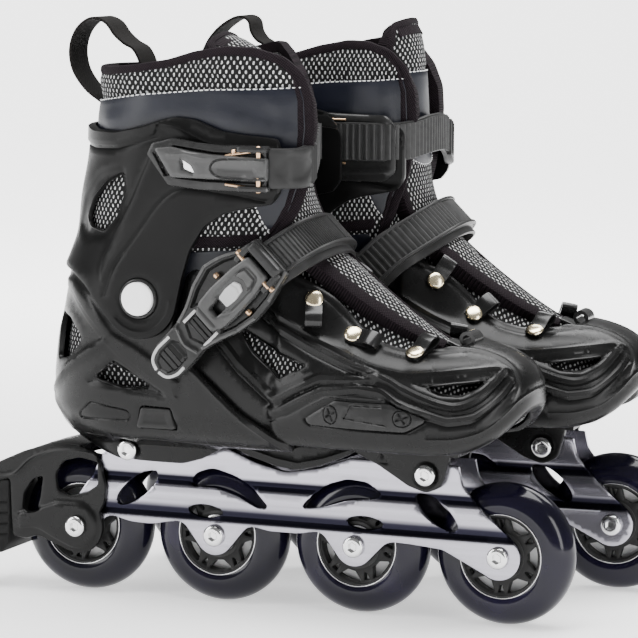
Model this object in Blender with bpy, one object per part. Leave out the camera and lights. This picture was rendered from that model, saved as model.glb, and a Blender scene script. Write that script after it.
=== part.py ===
"""A pair of size-adjustable inline skates.

One skate is modelled in its own frame: +X towards the toe, +Z up, the floor at z = 0 and the rear
axle at x = 0. Its outer side is -Y. That is the right skate. The left skate is its mirror image,
without the brake, and stands beside it a little toed out.
Outlines are given in millimetres and become metres when a mesh is made.
"""

import math

import bmesh
import bpy
from mathutils import Matrix, Vector
from mathutils.geometry import delaunay_2d_cdt

MM = 0.001
FILL_INSIDE = 1

# ------------------------------------------------------------------ driving dimensions, millimetres
WHEEL_RADIUS = 38.0
WHEEL_WIDTH = 24.0
AXLE_PITCH = 81.0
AXLE_COUNT = 4
AXLE_RADIUS = 3.8
BEARING_RADIUS = 11.0
BEARING_BORE = 4.25
RUNNING_GAP = 0.35

FRAME_INNER = 12.4
FRAME_OUTER = 15.0
TAB_GAP = 0.4
TAB_OUTER = 19.6
BLOCK_OUTER = 21.0
BOLT_REAR = (33.0, 83.0)
BOLT_FRONT = (204.0, 80.0)
BOLT_RADIUS = 3.0
BOLT_HEAD = 6.2

WALL = 3.0
SLIDE_GAP = 1.1
TOE_FLOOR = 94.3
HEEL_FLOOR = 94.0
CHASSIS_BOTTOM = 85.8

PIVOT = (51.0, 169.0)
PIVOT_RADIUS = 4.0
CAP_RADIUS = 9.0
CUFF_HALF_WIDTH = 47.5

BUTTON_TRAVEL = 2.5
PAIR_OFFSET = (26.0, 115.5)
TOE_OUT = math.radians(3.3)
PAIR_CENTRE = (122.968, 54.392)

FRONT_AXLE_X = AXLE_PITCH * (AXLE_COUNT - 1)

# Stations of the heel shell's outer surface: height, rearmost x, half width at the ankle, half
# width at x = 130.
HEEL_STATIONS = [
    (75.0, 4.0, 21.0, 21.0),
    (86.0, -6.0, 22.5, 24.0),
    (91.0, -11.0, 31.0, 37.0),
    (97.0, -16.5, 36.0, 43.5),
    (108.0, -21.5, 39.0, 47.0),
    (120.0, -21.5, 40.0, 46.5),
    (134.0, -19.5, 41.5, 45.0),
    (146.0, -17.0, 42.5, 43.0),
    (156.0, -13.5, 43.2, 41.5),
    (175.0, -8.5, 43.6, 40.0),
    (194.0, -3.5, 43.4, 39.0),
]
HEEL_ROUND = 48.0

# Stations of the toe shell's outer surface: x, half width, top.
TOE_STATIONS = [
    (30.0, 38.0, 190.0),
    (60.0, 39.5, 190.0),
    (100.0, 42.0, 186.0),
    (130.0, 45.5, 173.0),
    (150.0, 48.5, 164.0),
    (175.0, 51.5, 156.5),
    (200.0, 52.0, 152.0),
    (222.0, 49.5, 149.5),
    (238.0, 42.5, 146.0),
    (249.0, 32.0, 141.0),
    (256.0, 20.0, 134.0),
    (260.0, 8.0, 126.0),
]
# The toe shell's cross-section: share of its height, share of its half width.
TOE_SHAPE = [(0.0, 0.88), (0.07, 0.95), (0.22, 1.0), (0.45, 0.985), (0.65, 0.90), (0.82, 0.72), (0.94, 0.44)]
TOE_TIP_RISE = [(225.0, 0.0), (240.0, 2.0), (250.0, 7.0), (257.0, 14.0), (262.0, 20.0)]

# Stations of the cuff's outer surface: height, rearmost x, half width, foremost x.
CUFF_STATIONS = [
    (146.0, -18.5, 47.5, 150.0),
    (162.0, -17.5, 47.5, 150.0),
    (178.0, -15.0, 47.5, 150.0),
    (188.0, -11.0, 47.5, 150.0),
    (203.0, -6.5, 47.6, 150.0),
    (220.0, -5.0, 48.0, 149.0),
    (247.0, 0.0, 48.8, 148.0),
    (262.0, 0.5, 49.2, 148.0),
    (275.0, 3.0, 49.6, 148.0),
]

# The tongue's outer line down the front: x, z, half width.
TONGUE_LINE = [
    (112.0, 303.0, 22.0),
    (129.0, 297.0, 25.0),
    (138.0, 282.0, 27.0),
    (139.0, 262.0, 28.0),
    (136.0, 238.0, 28.0),
    (134.0, 220.0, 28.0),
    (138.0, 206.0, 27.0),
    (147.0, 194.5, 25.0),
    (160.0, 183.0, 22.5),
    (175.0, 171.0, 19.5),
    (190.0, 161.0, 16.5),
    (203.0, 154.0, 12.5),
]
TONGUE_THICKNESS = 7.0

# The instep strap runs up and over the foot in a slanted plane. Its origin and its two directions.
STRAP_ORIGIN = Vector((75.0, 0.0, 135.0))
STRAP_UP = Vector((1.0, 0.0, 1.0)).normalized()
STRAP_ACROSS = Vector((1.0, 0.0, -1.0)).normalized()
STRAP_SIDE = 46.4
STRAP_TOP = 112.0
STRAP_HALF_WIDTH = 11.0
STRAP_THICKNESS = 2.8
LEVER_HINGE = 70.0

PALETTE = {
    "wheel": ((0.035, 0.032, 0.045), 0.25, 0.0),
    "bearings": ((0.55, 0.55, 0.56), 0.3, 1.0),
    "axle": ((0.72, 0.72, 0.72), 0.25, 1.0),
    "heel_shell": ((0.022, 0.022, 0.025), 0.45, 0.0),
    "toe_shell": ((0.024, 0.024, 0.027), 0.42, 0.0),
    "cuff": ((0.026, 0.026, 0.029), 0.48, 0.0),
    "liner": ((0.03, 0.032, 0.04), 0.7, 0.0),
    "tongue": ((0.035, 0.033, 0.038), 0.8, 0.0),
    "heel_loop": ((0.02, 0.02, 0.022), 0.85, 0.0),
    "frame": ((0.62, 0.61, 0.68), 0.28, 1.0),
    "brake_arm": ((0.02, 0.02, 0.022), 0.5, 0.0),
    "brake_pad": ((0.015, 0.015, 0.016), 0.8, 0.0),
    "cuff_buckle_lever": ((0.05, 0.05, 0.055), 0.35, 0.0),
    "cuff_strap": ((0.03, 0.03, 0.032), 0.45, 0.0),
    "instep_buckle_base": ((0.025, 0.025, 0.027), 0.4, 0.0),
    "instep_buckle_lever": ((0.05, 0.05, 0.055), 0.35, 0.0),
    "instep_strap": ((0.04, 0.04, 0.04), 0.5, 0.0),
    "push_button": ((0.06, 0.06, 0.065), 0.4, 0.0),
    "outer_pivot": ((0.85, 0.86, 0.85), 0.4, 0.0),
    "inner_pivot": ((0.1, 0.1, 0.1), 0.4, 0.0),
    "front_bolt": ((0.72, 0.72, 0.72), 0.25, 1.0),
    "rear_bolt": ((0.72, 0.72, 0.72), 0.25, 1.0),
}


# ------------------------------------------------------------------------------------ small helpers
def between(table, key, column):
    """Linear interpolation of a column in a table whose first column is the key."""
    if key <= table[0][0]:
        return table[0][column]
    for low, high in zip(table, table[1:]):
        if key <= high[0]:
            share = (key - low[0]) / (high[0] - low[0])
            return low[column] + share * (high[column] - low[column])
    return table[-1][column]


def arc(cx, cz, radius, start, end, count):
    """Points on an arc, angles in degrees."""
    turns = [math.radians(start + (end - start) * i / count) for i in range(count + 1)]
    return [(cx + radius * math.cos(turn), cz + radius * math.sin(turn)) for turn in turns]


def ring(cx, cz, radius, count):
    """A closed round outline."""
    return arc(cx, cz, radius, 0.0, 360.0 * (count - 1) / count, count - 1)


def ellipse(cx, cz, long_radius, short_radius, tilt, count):
    """A closed elliptical outline, tilted by an angle in degrees."""
    turn = math.radians(tilt)
    points = []
    for x, z in ring(0.0, 0.0, 1.0, count):
        u, v = x * long_radius, z * short_radius
        points.append((cx + u * math.cos(turn) - v * math.sin(turn),
                       cz + u * math.sin(turn) + v * math.cos(turn)))
    return points


def mesh_object(name, points, faces):
    """An object from points in millimetres, with its faces turned outwards."""
    mesh = bpy.data.meshes.new(name)
    mesh.from_pydata([Vector(point) * MM for point in points], [], faces)
    work = bmesh.new()
    work.from_mesh(mesh)
    bmesh.ops.recalc_face_normals(work, faces=work.faces)
    if work.calc_volume(signed=True) < 0.0:
        bmesh.ops.reverse_faces(work, faces=work.faces)
    work.to_mesh(mesh)
    work.free()
    item = bpy.data.objects.new(name, mesh)
    bpy.context.scene.collection.objects.link(item)
    return item


def encloses(loop, a, b):
    """Whether a closed outline encloses a point."""
    found = False
    for (a0, b0), (a1, b1) in zip(loop, loop[1:] + loop[:1]):
        if (b0 > b) != (b1 > b) and a < a0 + (a1 - a0) * (b - b0) / (b1 - b0):
            found = not found
    return found


def is_material(corners, outline, holes):
    """Whether a triangle lies inside the outline and outside every hole."""
    a = sum(corner[0] for corner in corners) / 3.0
    b = sum(corner[1] for corner in corners) / 3.0
    return encloses(outline, a, b) and not any(encloses(hole, a, b) for hole in holes)


def extrude(name, outline, holes, low, high, place):
    """A flat outline with holes, extruded from low to high. place(a, b, height) gives a point."""
    loops = [outline] + holes
    flat = [point for loop in loops for point in loop]
    edges, start = [], 0
    for loop in loops:
        size = len(loop)
        edges += [(start + i, start + (i + 1) % size) for i in range(size)]
        start += size
    found = delaunay_2d_cdt([Vector(point) for point in flat], edges, [], FILL_INSIDE, 1e-6)[2]
    triangles = [corners for corners in found if is_material([flat[i] for i in corners], outline, holes)]
    count = len(flat)
    points = [place(a, b, low) for a, b in flat] + [place(a, b, high) for a, b in flat]
    faces = [tuple(triangle) for triangle in triangles]
    faces += [tuple(index + count for index in reversed(triangle)) for triangle in triangles]
    faces += [(a, b, b + count, a + count) for a, b in edges]
    return mesh_object(name, points, faces)


def side_prism(name, outline, low, high, holes=()):
    """An outline in x and z, extruded along y."""
    return extrude(name, outline, list(holes), low, high, lambda a, b, h: (a, h, b))


def plan_prism(name, outline, low, high):
    """An outline in x and y, extruded along z."""
    return extrude(name, outline, [], low, high, lambda a, b, h: (a, b, h))


def box(name, low, high):
    """A plain block between two corners."""
    outline = [(low[0], low[2]), (high[0], low[2]), (high[0], high[2]), (low[0], high[2])]
    return side_prism(name, outline, low[1], high[1])


def loft(name, rings):
    """A solid through closed rings that have the same number of points."""
    size = len(rings[0])
    points = [point for one in rings for point in one]
    faces = [tuple(range(size)), tuple(range(len(points) - size, len(points)))]
    for row in range(len(rings) - 1):
        for i in range(size):
            a, b = row * size + i, row * size + (i + 1) % size
            faces.append((a, b, b + size, a + size))
    return mesh_object(name, points, faces)


def lathe(name, profile, x, z, segments, bore=True):
    """A profile of (y, radius) points turned about a cross axis. With no bore both ends close."""
    points, faces, size = [], [], len(profile)
    for k in range(segments):
        turn = 2.0 * math.pi * k / segments - math.pi / 2.0
        points += [(x + r * math.cos(turn), y, z + r * math.sin(turn)) for y, r in profile]
    last = size if bore else size - 1
    for k in range(segments):
        here, there = k * size, (k + 1) % segments * size
        for i in range(last):
            j = (i + 1) % size
            faces.append((here + i, here + j, there + j, there + i))
    if not bore:
        faces.append(tuple(k * size for k in range(segments)))
        faces.append(tuple(k * size + size - 1 for k in range(segments)))
    return mesh_object(name, points, faces)


def combine(target, operation, *tools):
    """Apply Boolean steps to the target and take the tools away."""
    for tool in tools:
        step = target.modifiers.new(operation.lower(), "BOOLEAN")
        step.operation = operation
        step.solver = "EXACT"
        step.object = tool
    solved = target.evaluated_get(bpy.context.evaluated_depsgraph_get())
    mesh = bpy.data.meshes.new_from_object(solved)
    target.modifiers.clear()
    target.data = mesh
    for tool in tools:
        bpy.data.objects.remove(tool, do_unlink=True)
    return target


def smooth(item, angle=35.0):
    """Shade round pieces smooth and keep their corners."""
    item.data.shade_smooth()
    item.data.set_sharp_from_angle(angle=math.radians(angle))


def paint(item, piece):
    """Give the object its own material."""
    colour, roughness, metallic = PALETTE[piece]
    material = bpy.data.materials.new(item.name)
    material.use_nodes = True
    shader = material.node_tree.nodes["Principled BSDF"]
    shader.inputs["Base Color"].default_value = (*colour, 1.0)
    shader.inputs["Roughness"].default_value = roughness
    shader.inputs["Metallic"].default_value = metallic
    item.data.materials.clear()
    item.data.materials.append(material)


# ------------------------------------------------------------------------------------ rolling gear
def wheel(x):
    """The tyre and its hub, cast together, with a bore for the bearings."""
    half = WHEEL_WIDTH / 2.0
    crown = [(half * math.cos(math.radians(turn)), WHEEL_RADIUS - 16.0 + 16.0 * math.sin(math.radians(turn)))
             for turn in (20.0, 55.0, 90.0, 125.0, 160.0)]
    bore = BEARING_RADIUS + RUNNING_GAP
    profile = crown + [(-half + 1.0, 15.0), (-half + 1.0, bore), (half - 1.0, bore), (half - 1.0, 15.0)]
    return lathe("wheel", profile, x, WHEEL_RADIUS, 24)


def bearings(x):
    """Two ball bearings and the spacer between them."""
    half = WHEEL_WIDTH / 2.0
    profile = [(-half, BEARING_BORE), (half, BEARING_BORE), (half, BEARING_RADIUS), (-half, BEARING_RADIUS)]
    return lathe("bearings", profile, x, WHEEL_RADIUS, 12)


def cross_bolt(x, z, radius, head, seat_low, seat_high, height):
    """A bolt along y with a head at each end of its shank."""
    profile = [(seat_low - height, head), (seat_low, head), (seat_low, radius),
               (seat_high, radius), (seat_high, head), (seat_high + height, head)]
    return lathe("bolt", profile, x, z, 10, bore=False)


def frame_wall(low, high):
    """One side wall of the frame with its openings."""
    foot = 11.0
    outline = arc(0.0, WHEEL_RADIUS, foot, 165.0, 315.0, 6)
    outline += [(18.0, 45.0), (43.0, 42.0), (64.0, 45.0)]
    outline += arc(AXLE_PITCH, WHEEL_RADIUS, foot, 215.0, 325.0, 4)
    outline += [(100.0, 45.0), (122.0, 42.0), (145.0, 45.0)]
    outline += arc(AXLE_PITCH * 2.0, WHEEL_RADIUS, foot, 215.0, 325.0, 4)
    outline += [(181.0, 45.0), (206.0, 42.0), (228.0, 41.0)]
    outline += arc(FRONT_AXLE_X, WHEEL_RADIUS, foot + 1.0, 225.0, 390.0, 6)
    outline += [(229.0, 69.0), (220.0, 77.0), (220.0, 85.2), (160.0, 85.2), (143.0, 79.0), (123.0, 75.5),
                (105.0, 80.0), (87.0, 85.0), (79.0, 83.0), (50.0, 83.0), (46.0, 88.0), (22.0, 88.0), (14.0, 81.0), (9.0, 72.0)]
    holes = [
        ellipse(35.0, 61.0, 15.0, 5.5, 38.0, 8),
        ellipse(75.5, 51.0, 10.0, 3.5, 0.0, 8),
        ellipse(168.0, 51.0, 10.0, 3.5, 0.0, 8),
        ellipse(208.5, 59.5, 14.0, 5.5, -34.0, 8),
        [(67.0, 66.0), (71.0, 72.0), (78.0, 74.5), (88.0, 73.5), (98.0, 68.5), (112.0, 56.0), (96.0, 60.5), (80.0, 64.0)],
        [(131.0, 56.5), (146.0, 68.5), (156.0, 73.5), (166.0, 74.0), (174.0, 71.0), (178.0, 66.0), (164.0, 63.5), (149.0, 61.0)],
        ring(*BOLT_REAR, BOLT_RADIUS + 0.4, 8),
        ring(*BOLT_FRONT, BOLT_RADIUS + 0.4, 8),
    ]
    holes += [ring(AXLE_PITCH * i, WHEEL_RADIUS, AXLE_RADIUS + 0.5, 8) for i in range(AXLE_COUNT)]
    return side_prism("frame", outline, low, high, holes)


def frame():
    """Two side walls joined by a rear and a front web above the wheels."""
    right = frame_wall(-FRAME_OUTER, -FRAME_INNER)
    left = frame_wall(FRAME_INNER, FRAME_OUTER)
    reach = FRAME_OUTER - 0.5
    rear_web = box("web", (44.0, -reach, 78.0), (84.0, reach, 81.0))
    low_web = box("web", (15.0, -reach, 77.2), (26.0, reach, 79.4))
    front_web = box("web", (164.0, -reach, 79.0), (197.0, reach, 82.0))
    return combine(right, "UNION", left, rear_web, low_web, front_web)


def brake_arm():
    """The brake housing: two cheeks on the rear axle and a roof over the wheel."""
    low, high = FRAME_OUTER + TAB_GAP, TAB_OUTER - 0.2
    outline = arc(0.0, WHEEL_RADIUS, 15.0, 215.0, 375.0, 7)
    outline += [(17.0, 56.0), (14.0, 71.0), (10.0, 78.0), (2.0, 82.0), (-14.0, 83.0), (-32.0, 77.5), (-48.0, 70.5),
                (-61.0, 63.0), (-61.0, 58.0), (-40.0, 62.0), (-39.5, 30.0), (-30.0, 28.5)]
    holes = [
        [(12.0, 73.0), (-9.0, 75.0), (-13.0, 66.0), (-11.0, 55.5), (2.0, 56.0), (13.0, 59.0)],
        [(-20.0, 64.0), (-31.5, 60.0), (-32.5, 46.0), (-23.0, 44.5)],
        ring(0.0, WHEEL_RADIUS, AXLE_RADIUS + 0.4, 10),
    ]
    outer = side_prism("brake_arm", outline, -high, -low, holes)
    inner = side_prism("cheek", outline, low, high, holes)
    roof = [(0.0, 79.0), (0.0, 81.6), (-14.0, 82.6), (-32.0, 77.1), (-48.0, 70.1), (-60.5, 62.8), (-60.5, 58.6),
            (-48.0, 64.5), (-32.0, 71.5), (-16.0, 78.6)]
    return combine(outer, "UNION", inner, side_prism("roof", roof, -low - 1.0, low + 1.0))


def brake_pad():
    """The rubber pad behind the wheel."""
    outline = [(-60.5, 57.6), (-41.0, 61.2), (-41.0, 25.0), (-46.0, 19.0), (-60.5, 19.0)]
    return side_prism("brake_pad", outline, -TAB_OUTER + 0.4, TAB_OUTER - 0.4)


# ------------------------------------------------------------------------------------------- boot
def heel_half_width(x, z):
    """Half width of the heel shell's outer surface."""
    back = between(HEEL_STATIONS, z, 1)
    ankle = between(HEEL_STATIONS, z, 2)
    front = between(HEEL_STATIONS, z, 3)
    middle = back + HEEL_ROUND
    if x >= middle:
        return ankle + (front - ankle) * (x - middle) / (130.0 - middle)
    share = min(1.0, (middle - x) / HEEL_ROUND)
    return ankle * math.sqrt(max(0.0, 1.0 - share * share))


def heel_ring(z, shrink, front):
    """A horizontal ring of the heel shell, shrunk inwards."""
    back = between(HEEL_STATIONS, z, 1)
    middle = back + HEEL_ROUND
    half = []
    for i in range(7):
        turn = math.pi / 2.0 * i / 6.0
        width = between(HEEL_STATIONS, z, 2) - shrink
        half.append((middle - (HEEL_ROUND - shrink) * math.cos(turn), width * math.sin(turn)))
    for x in ((middle + front) / 2.0, front):
        half.append((x, heel_half_width(x, z) - shrink))
    return [(x, -y, z) for x, y in reversed(half)] + [(x, y, z) for x, y in half[1:]]


def heel_shell():
    """The rear shell with the sole chassis that carries the frame."""
    outer = loft("heel_shell", [heel_ring(row[0], 0.0, 142.0) for row in HEEL_STATIONS])
    profile = [(-40.0, 90.0), (-12.0, 87.0), (4.0, 84.5), (15.0, 80.0), (24.0, 77.0), (65.0, 77.0), (77.0, 81.0),
               (90.0, 88.0), (137.0, 88.0), (135.0, 94.0), (124.0, 103.0), (106.0, 113.0), (92.0, 124.0),
               (78.0, 135.0), (67.0, 147.0), (71.0, 165.0), (66.0, 182.0), (51.0, 190.0), (-40.0, 190.0)]
    combine(outer, "INTERSECT", side_prism("profile", profile, -80.0, 80.0))
    heights = [HEEL_FLOOR] + [row[0] for row in HEEL_STATIONS if row[0] > HEEL_FLOOR] + [200.0]
    inside = loft("inside", [heel_ring(z, WALL, 160.0) for z in heights])
    channel = box("channel", (-30.0, -FRAME_OUTER - TAB_GAP, 60.0), (100.0, FRAME_OUTER + TAB_GAP, 89.4))
    rear_window = [(-7.0, 156.0), (3.0, 158.0), (14.0, 146.5), (3.0, 134.0), (-8.0, 132.0)]
    side_window = [(14.0, 120.5), (32.0, 132.0), (66.0, 117.5), (38.0, 118.5)]
    cutters = [
        inside, channel,
        side_prism("window", rear_window, -80.0, 80.0),
        side_prism("window", side_window, -80.0, 80.0),
        side_prism("slot", button_outline(RUNNING_GAP), -60.0, -20.0),
        side_prism("hole", ring(*PIVOT, PIVOT_RADIUS + 0.3, 14), -80.0, 80.0),
        side_prism("hole", ring(*BOLT_REAR, BOLT_RADIUS + 0.3, 10), -80.0, 80.0),
        side_prism("seat", ring(*BOLT_REAR, BOLT_HEAD + 0.6, 14), -40.0, -BLOCK_OUTER - 1.8),
        side_prism("seat", ring(*BOLT_REAR, BOLT_HEAD + 0.6, 14), BLOCK_OUTER + 1.8, 40.0),
    ]
    combine(outer, "DIFFERENCE", *cutters)
    bar = box("bar", (70.0, -TAB_OUTER + 0.2, CHASSIS_BOTTOM), (222.0, TAB_OUTER - 0.2, HEEL_FLOOR - 0.2))
    tab = [(163.0, 90.0), (196.0, 73.0), (204.0, 71.0), (212.0, 75.0), (216.0, 90.0)]
    hole = [ring(*BOLT_FRONT, BOLT_RADIUS + 0.3, 10)]
    low = FRAME_OUTER + TAB_GAP
    tabs = [side_prism("tab", tab, -TAB_OUTER, -low, hole), side_prism("tab", tab, low, TAB_OUTER, hole)]
    return combine(outer, "UNION", bar, *tabs)


def button_outline(grow):
    """The push button's outline, seen from the side."""
    return [(46.5 - grow, 98.5 - grow), (69.5 + grow, 98.5 - grow), (66.5 + grow, 110.0 + grow), (49.5 - grow, 110.0 + grow)]


def push_button():
    """The button that frees the toe shell."""
    return side_prism("push_button", button_outline(0.0), -41.5, -36.6)


def toe_half_width(x, share):
    """Half width of the toe shell at a share of its height, held clear of the heel shell."""
    table = TOE_SHAPE + [(1.0, 0.0)]
    return between(TOE_STATIONS, x, 1) * between(table, share, 1)


def toe_ring(x, shrink):
    """An upright ring of the toe shell, shrunk inwards."""
    low = TOE_FLOOR + (between(TOE_TIP_RISE, x, 1) if x > TOE_TIP_RISE[0][0] else 0.0)
    high = between(TOE_STATIONS, x, 2)
    half = []
    for share, _ in TOE_SHAPE:
        z = low + shrink + (high - low - 2.0 * shrink) * share
        width = toe_half_width(x, share) - shrink
        if x < 140.0:
            width = min(width, heel_half_width(x, z) - WALL - SLIDE_GAP - shrink)
        half.append((max(width, 0.8), z))
    top = high - shrink
    return [(x, -y, z) for y, z in half] + [(x, 0.0, top)] + [(x, y, z) for y, z in reversed(half)]


def toe_shell():
    """The front shell, which slides in the heel shell to change the size."""
    stations = [30.0, 45.0, 60.0, 80.0, 100.0, 115.0, 130.0, 150.0, 175.0, 200.0, 222.0, 238.0, 249.0, 256.0, 260.0]
    outer = loft("toe_shell", [toe_ring(x, 0.0) for x in stations])
    profile = [(74.0, 90.0), (74.0, 115.0), (44.0, 118.0), (44.0, 146.0), (66.0, 151.0), (78.0, 170.0), (93.0, 177.0),
               (112.0, 176.0), (130.0, 169.0), (150.0, 161.0), (175.0, 157.0), (205.0, 154.0), (270.0, 152.0),
               (270.0, 90.0)]
    combine(outer, "INTERSECT", side_prism("profile", profile, -80.0, 80.0))
    inside = loft("inside", [toe_ring(x, 2.7) for x in [20.0] + stations[1:-2] + [253.0]])
    opening = [(20.0, -33.0), (110.0, -33.0), (127.0, -31.0), (147.0, -27.0), (168.0, -23.0), (188.0, -19.0),
               (202.0, -14.0), (210.0, -7.0), (212.0, 0.0)]
    opening += [(x, -y) for x, y in reversed(opening[:-1])]
    side_window = [(109.0, 153.0), (128.0, 148.0), (151.0, 138.5), (133.0, 128.5)]
    toe_window = [(205.0, 133.5), (244.0, 136.0), (228.0, 125.5)]
    return combine(
        outer, "DIFFERENCE", inside,
        plan_prism("opening", opening, 118.0, 220.0),
        side_prism("window", side_window, -80.0, -30.0),
        side_prism("window", side_window, 30.0, 80.0),
        side_prism("window", toe_window, -80.0, -28.0),
        side_prism("window", toe_window, 28.0, 80.0),
    )


def cuff_ring(z, shrink):
    """A closed horizontal ring of the cuff, shrunk inwards."""
    back, half, front = (between(CUFF_STATIONS, z, column) for column in (1, 2, 3))
    middle = back + 52.0
    half_ring = []
    for i in range(8):
        turn = math.pi / 2.0 * i / 7.0
        half_ring.append((middle - (52.0 - shrink) * math.cos(turn), (half - shrink) * math.sin(turn)))
    reach = front - middle - 12.0
    for turn in (30.0, 52.0, 70.0):
        spread = math.radians(turn)
        half_ring.append((middle + 12.0 + (reach - shrink) * math.sin(spread), (half - shrink) * math.cos(spread) ** 0.45))
    return [(x, -y, z) for x, y in reversed(half_ring)] + [(x, y, z) for x, y in half_ring[1:]]


def cuff():
    """The cuff around the ankle, open at the front."""
    heights = [row[0] for row in CUFF_STATIONS]
    outer = loft("cuff", [cuff_ring(z, 0.0) for z in heights])
    lobe = arc(*PIVOT, 21.5, 215.0, 345.0, 6)
    profile = [(-40.0, 184.0), (-8.0, 183.0), (6.0, 180.0), (17.0, 174.0), (26.0, 165.0)] + lobe
    profile += [(75.0, 182.0), (80.0, 196.0), (90.0, 209.0), (102.0, 216.0), (124.0, 219.0), (130.0, 223.0), (130.0, 252.0),
                (124.0, 257.0), (100.0, 261.0), (80.0, 267.0), (62.0, 267.0), (48.0, 262.0), (20.0, 260.0), (-40.0, 261.0)]
    combine(outer, "INTERSECT", side_prism("profile", profile, -80.0, 80.0))
    inside = loft("inside", [cuff_ring(z, WALL) for z in [140.0] + heights[1:-1] + [285.0]])
    window = [(17.0, 211.0), (24.0, 224.0), (40.0, 236.0), (42.0, 231.0), (40.0, 220.0), (29.0, 205.0)]
    return combine(
        outer, "DIFFERENCE", inside,
        box("front", (100.0, -34.0, 120.0), (190.0, 34.0, 300.0)),
        side_prism("window", window, -80.0, 80.0),
        side_prism("hole", ring(*PIVOT, PIVOT_RADIUS + 0.3, 14), -80.0, 80.0),
    )


def pivot_bolt(outer_face, inner_face):
    """A cuff pivot: a round cap outside the cuff and a shank through both walls."""
    seat = CUFF_HALF_WIDTH + 0.7
    profile = [(-outer_face, CAP_RADIUS - 0.8), (-outer_face + 0.8, CAP_RADIUS), (-seat, CAP_RADIUS),
               (-seat, PIVOT_RADIUS), (-inner_face, PIVOT_RADIUS)]
    return lathe("pivot", profile, *PIVOT, 20, bore=False)


def liner_ring(z, shrink):
    """A horizontal ring of the liner's upper part."""
    lower = between(HEEL_STATIONS, z, 2) - 8.4
    upper = between(CUFF_STATIONS, z, 2) - WALL - 1.8
    back = max(between(HEEL_STATIONS, z, 1) + WALL, between(CUFF_STATIONS, z, 1) + WALL) + 1.8
    blend = min(1.0, max(0.0, (z - 178.0) / 30.0))
    width = lower + (upper - lower) * blend - shrink
    lean = max(0.0, z - 262.0) * 0.6
    front = 96.0 + (144.0 - 96.0) * min(1.0, max(0.0, (z - 165.0) / 45.0))
    middle = back + 48.0
    half_ring = []
    for i in range(6):
        turn = math.pi / 2.0 * i / 5.0
        half_ring.append((middle - (48.0 - lean - shrink) * math.cos(turn), width * math.sin(turn)))
    reach = front - middle
    for turn in (25.0, 48.0, 68.0, 90.0):
        spread = math.radians(turn)
        half_ring.append((middle + (reach - shrink) * math.sin(spread), width * math.cos(spread) ** 0.7 if turn < 90.0 else 0.0))
    return [(x, -y, z) for x, y in reversed(half_ring[1:])] + [(x, y, z) for x, y in half_ring[:-1]]


def tongue_band(name, grow_side, grow_in, grow_out):
    """A band down the front of the boot, as rings of four corners."""
    rings = []
    for i, (x, z, half) in enumerate(TONGUE_LINE):
        before = TONGUE_LINE[max(0, i - 1)]
        after = TONGUE_LINE[min(len(TONGUE_LINE) - 1, i + 1)]
        along = Vector((after[0] - before[0], after[1] - before[1])).normalized()
        inward = Vector((along.y, -along.x))
        point = Vector((x, z))
        top, bottom = point - inward * grow_out, point + inward * (TONGUE_THICKNESS + grow_in)
        width = half + grow_side
        rings.append([(top.x, -width, top.y), (top.x, width, top.y), (bottom.x, width, bottom.y), (bottom.x, -width, bottom.y)])
    return loft(name, rings)


def liner():
    """The soft inner boot, open at the top and down the front."""
    heights = [97.8, 104.0, 112.0, 128.0, 146.0, 165.0, 184.0, 205.0, 232.0, 262.0, 292.0]
    foot_stations = [60.0, 80.0, 100.0, 130.0, 150.0, 175.0, 200.0, 222.0, 238.0, 249.0]
    body = loft("liner", [liner_ring(z, 0.0) for z in heights])
    foot = loft("foot", [toe_ring(x, 4.3) for x in foot_stations])
    combine(body, "UNION", foot)
    room = loft("room", [liner_ring(z, 6.0) for z in [103.0] + heights[1:-1] + [310.0]])
    toe_room = loft("room", [toe_ring(x, 8.5) for x in [66.0] + foot_stations[1:-2] + [234.0]])
    slot = tongue_band("slot", 0.8, 0.8, 40.0)
    return combine(body, "DIFFERENCE", room, toe_room, slot)


def tongue():
    """The padded tongue."""
    return tongue_band("tongue", 0.0, 0.0, 0.0)


def heel_loop():
    """The webbing pull loop at the back of the liner."""
    outline = [(3.0, 281.0), (-8.0, 298.0), (-5.0, 311.0), (3.0, 317.0), (13.0, 316.0), (23.0, 306.0), (28.5, 295.0)]
    width = 2.0
    inner = [(7.0, 283.0), (-5.0, 299.0), (-2.5, 309.0), (4.0, 314.2), (12.0, 313.0), (20.5, 304.4), (25.0, 294.0)]
    half = 9.0
    assert len(outline) == len(inner)
    return side_prism("heel_loop", outline + list(reversed(inner)), -half - width, half + width)


# -------------------------------------------------------------------------------- straps, buckles
def strap_point(side, up, across):
    """A point of the slanted strap plane: side is y, up runs along the strap."""
    point = STRAP_ORIGIN + STRAP_UP * up + STRAP_ACROSS * across
    return (point.x, side, point.z)


def band(name, line, half_width, thickness, place):
    """A flat strap along a line of (side, up) points, thickened outwards."""
    rings = []
    for i, (side, up) in enumerate(line):
        before, after = line[max(0, i - 1)], line[min(len(line) - 1, i + 1)]
        along = Vector((after[0] - before[0], after[1] - before[1])).normalized()
        out = Vector((-along.y, along.x)) * thickness
        rings.append([place(side, up, -half_width), place(side, up, half_width),
                      place(side + out.x, up + out.y, half_width), place(side + out.x, up + out.y, -half_width)])
    return loft(name, rings)


def instep_strap():
    """The strap from the outer anchor, under the buckle and over the instep to the inner anchor."""
    line = [(-STRAP_SIDE, up) for up in (0.0, 30.0, 60.0)]
    for turn in (170.0, 155.0, 140.0, 120.0, 100.0, 80.0, 60.0, 40.0, 25.0, 10.0):
        spread = math.radians(turn)
        side = STRAP_SIDE * math.copysign(abs(math.cos(spread)) ** 0.72, math.cos(spread))
        line.append((side, 68.0 + (STRAP_TOP - 68.0) * math.sin(spread) ** 0.85))
    line += [(STRAP_SIDE, up) for up in (60.0, 30.0, 0.0)]
    return band("instep_strap", line, STRAP_HALF_WIDTH, STRAP_THICKNESS, strap_point)


def strap_block(name, outline, near, far):
    """A plate in the strap's side plane. Its outline runs along and across the strap."""
    return extrude(name, outline, [], -near, -far, lambda a, b, h: strap_point(h, a, b))


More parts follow.
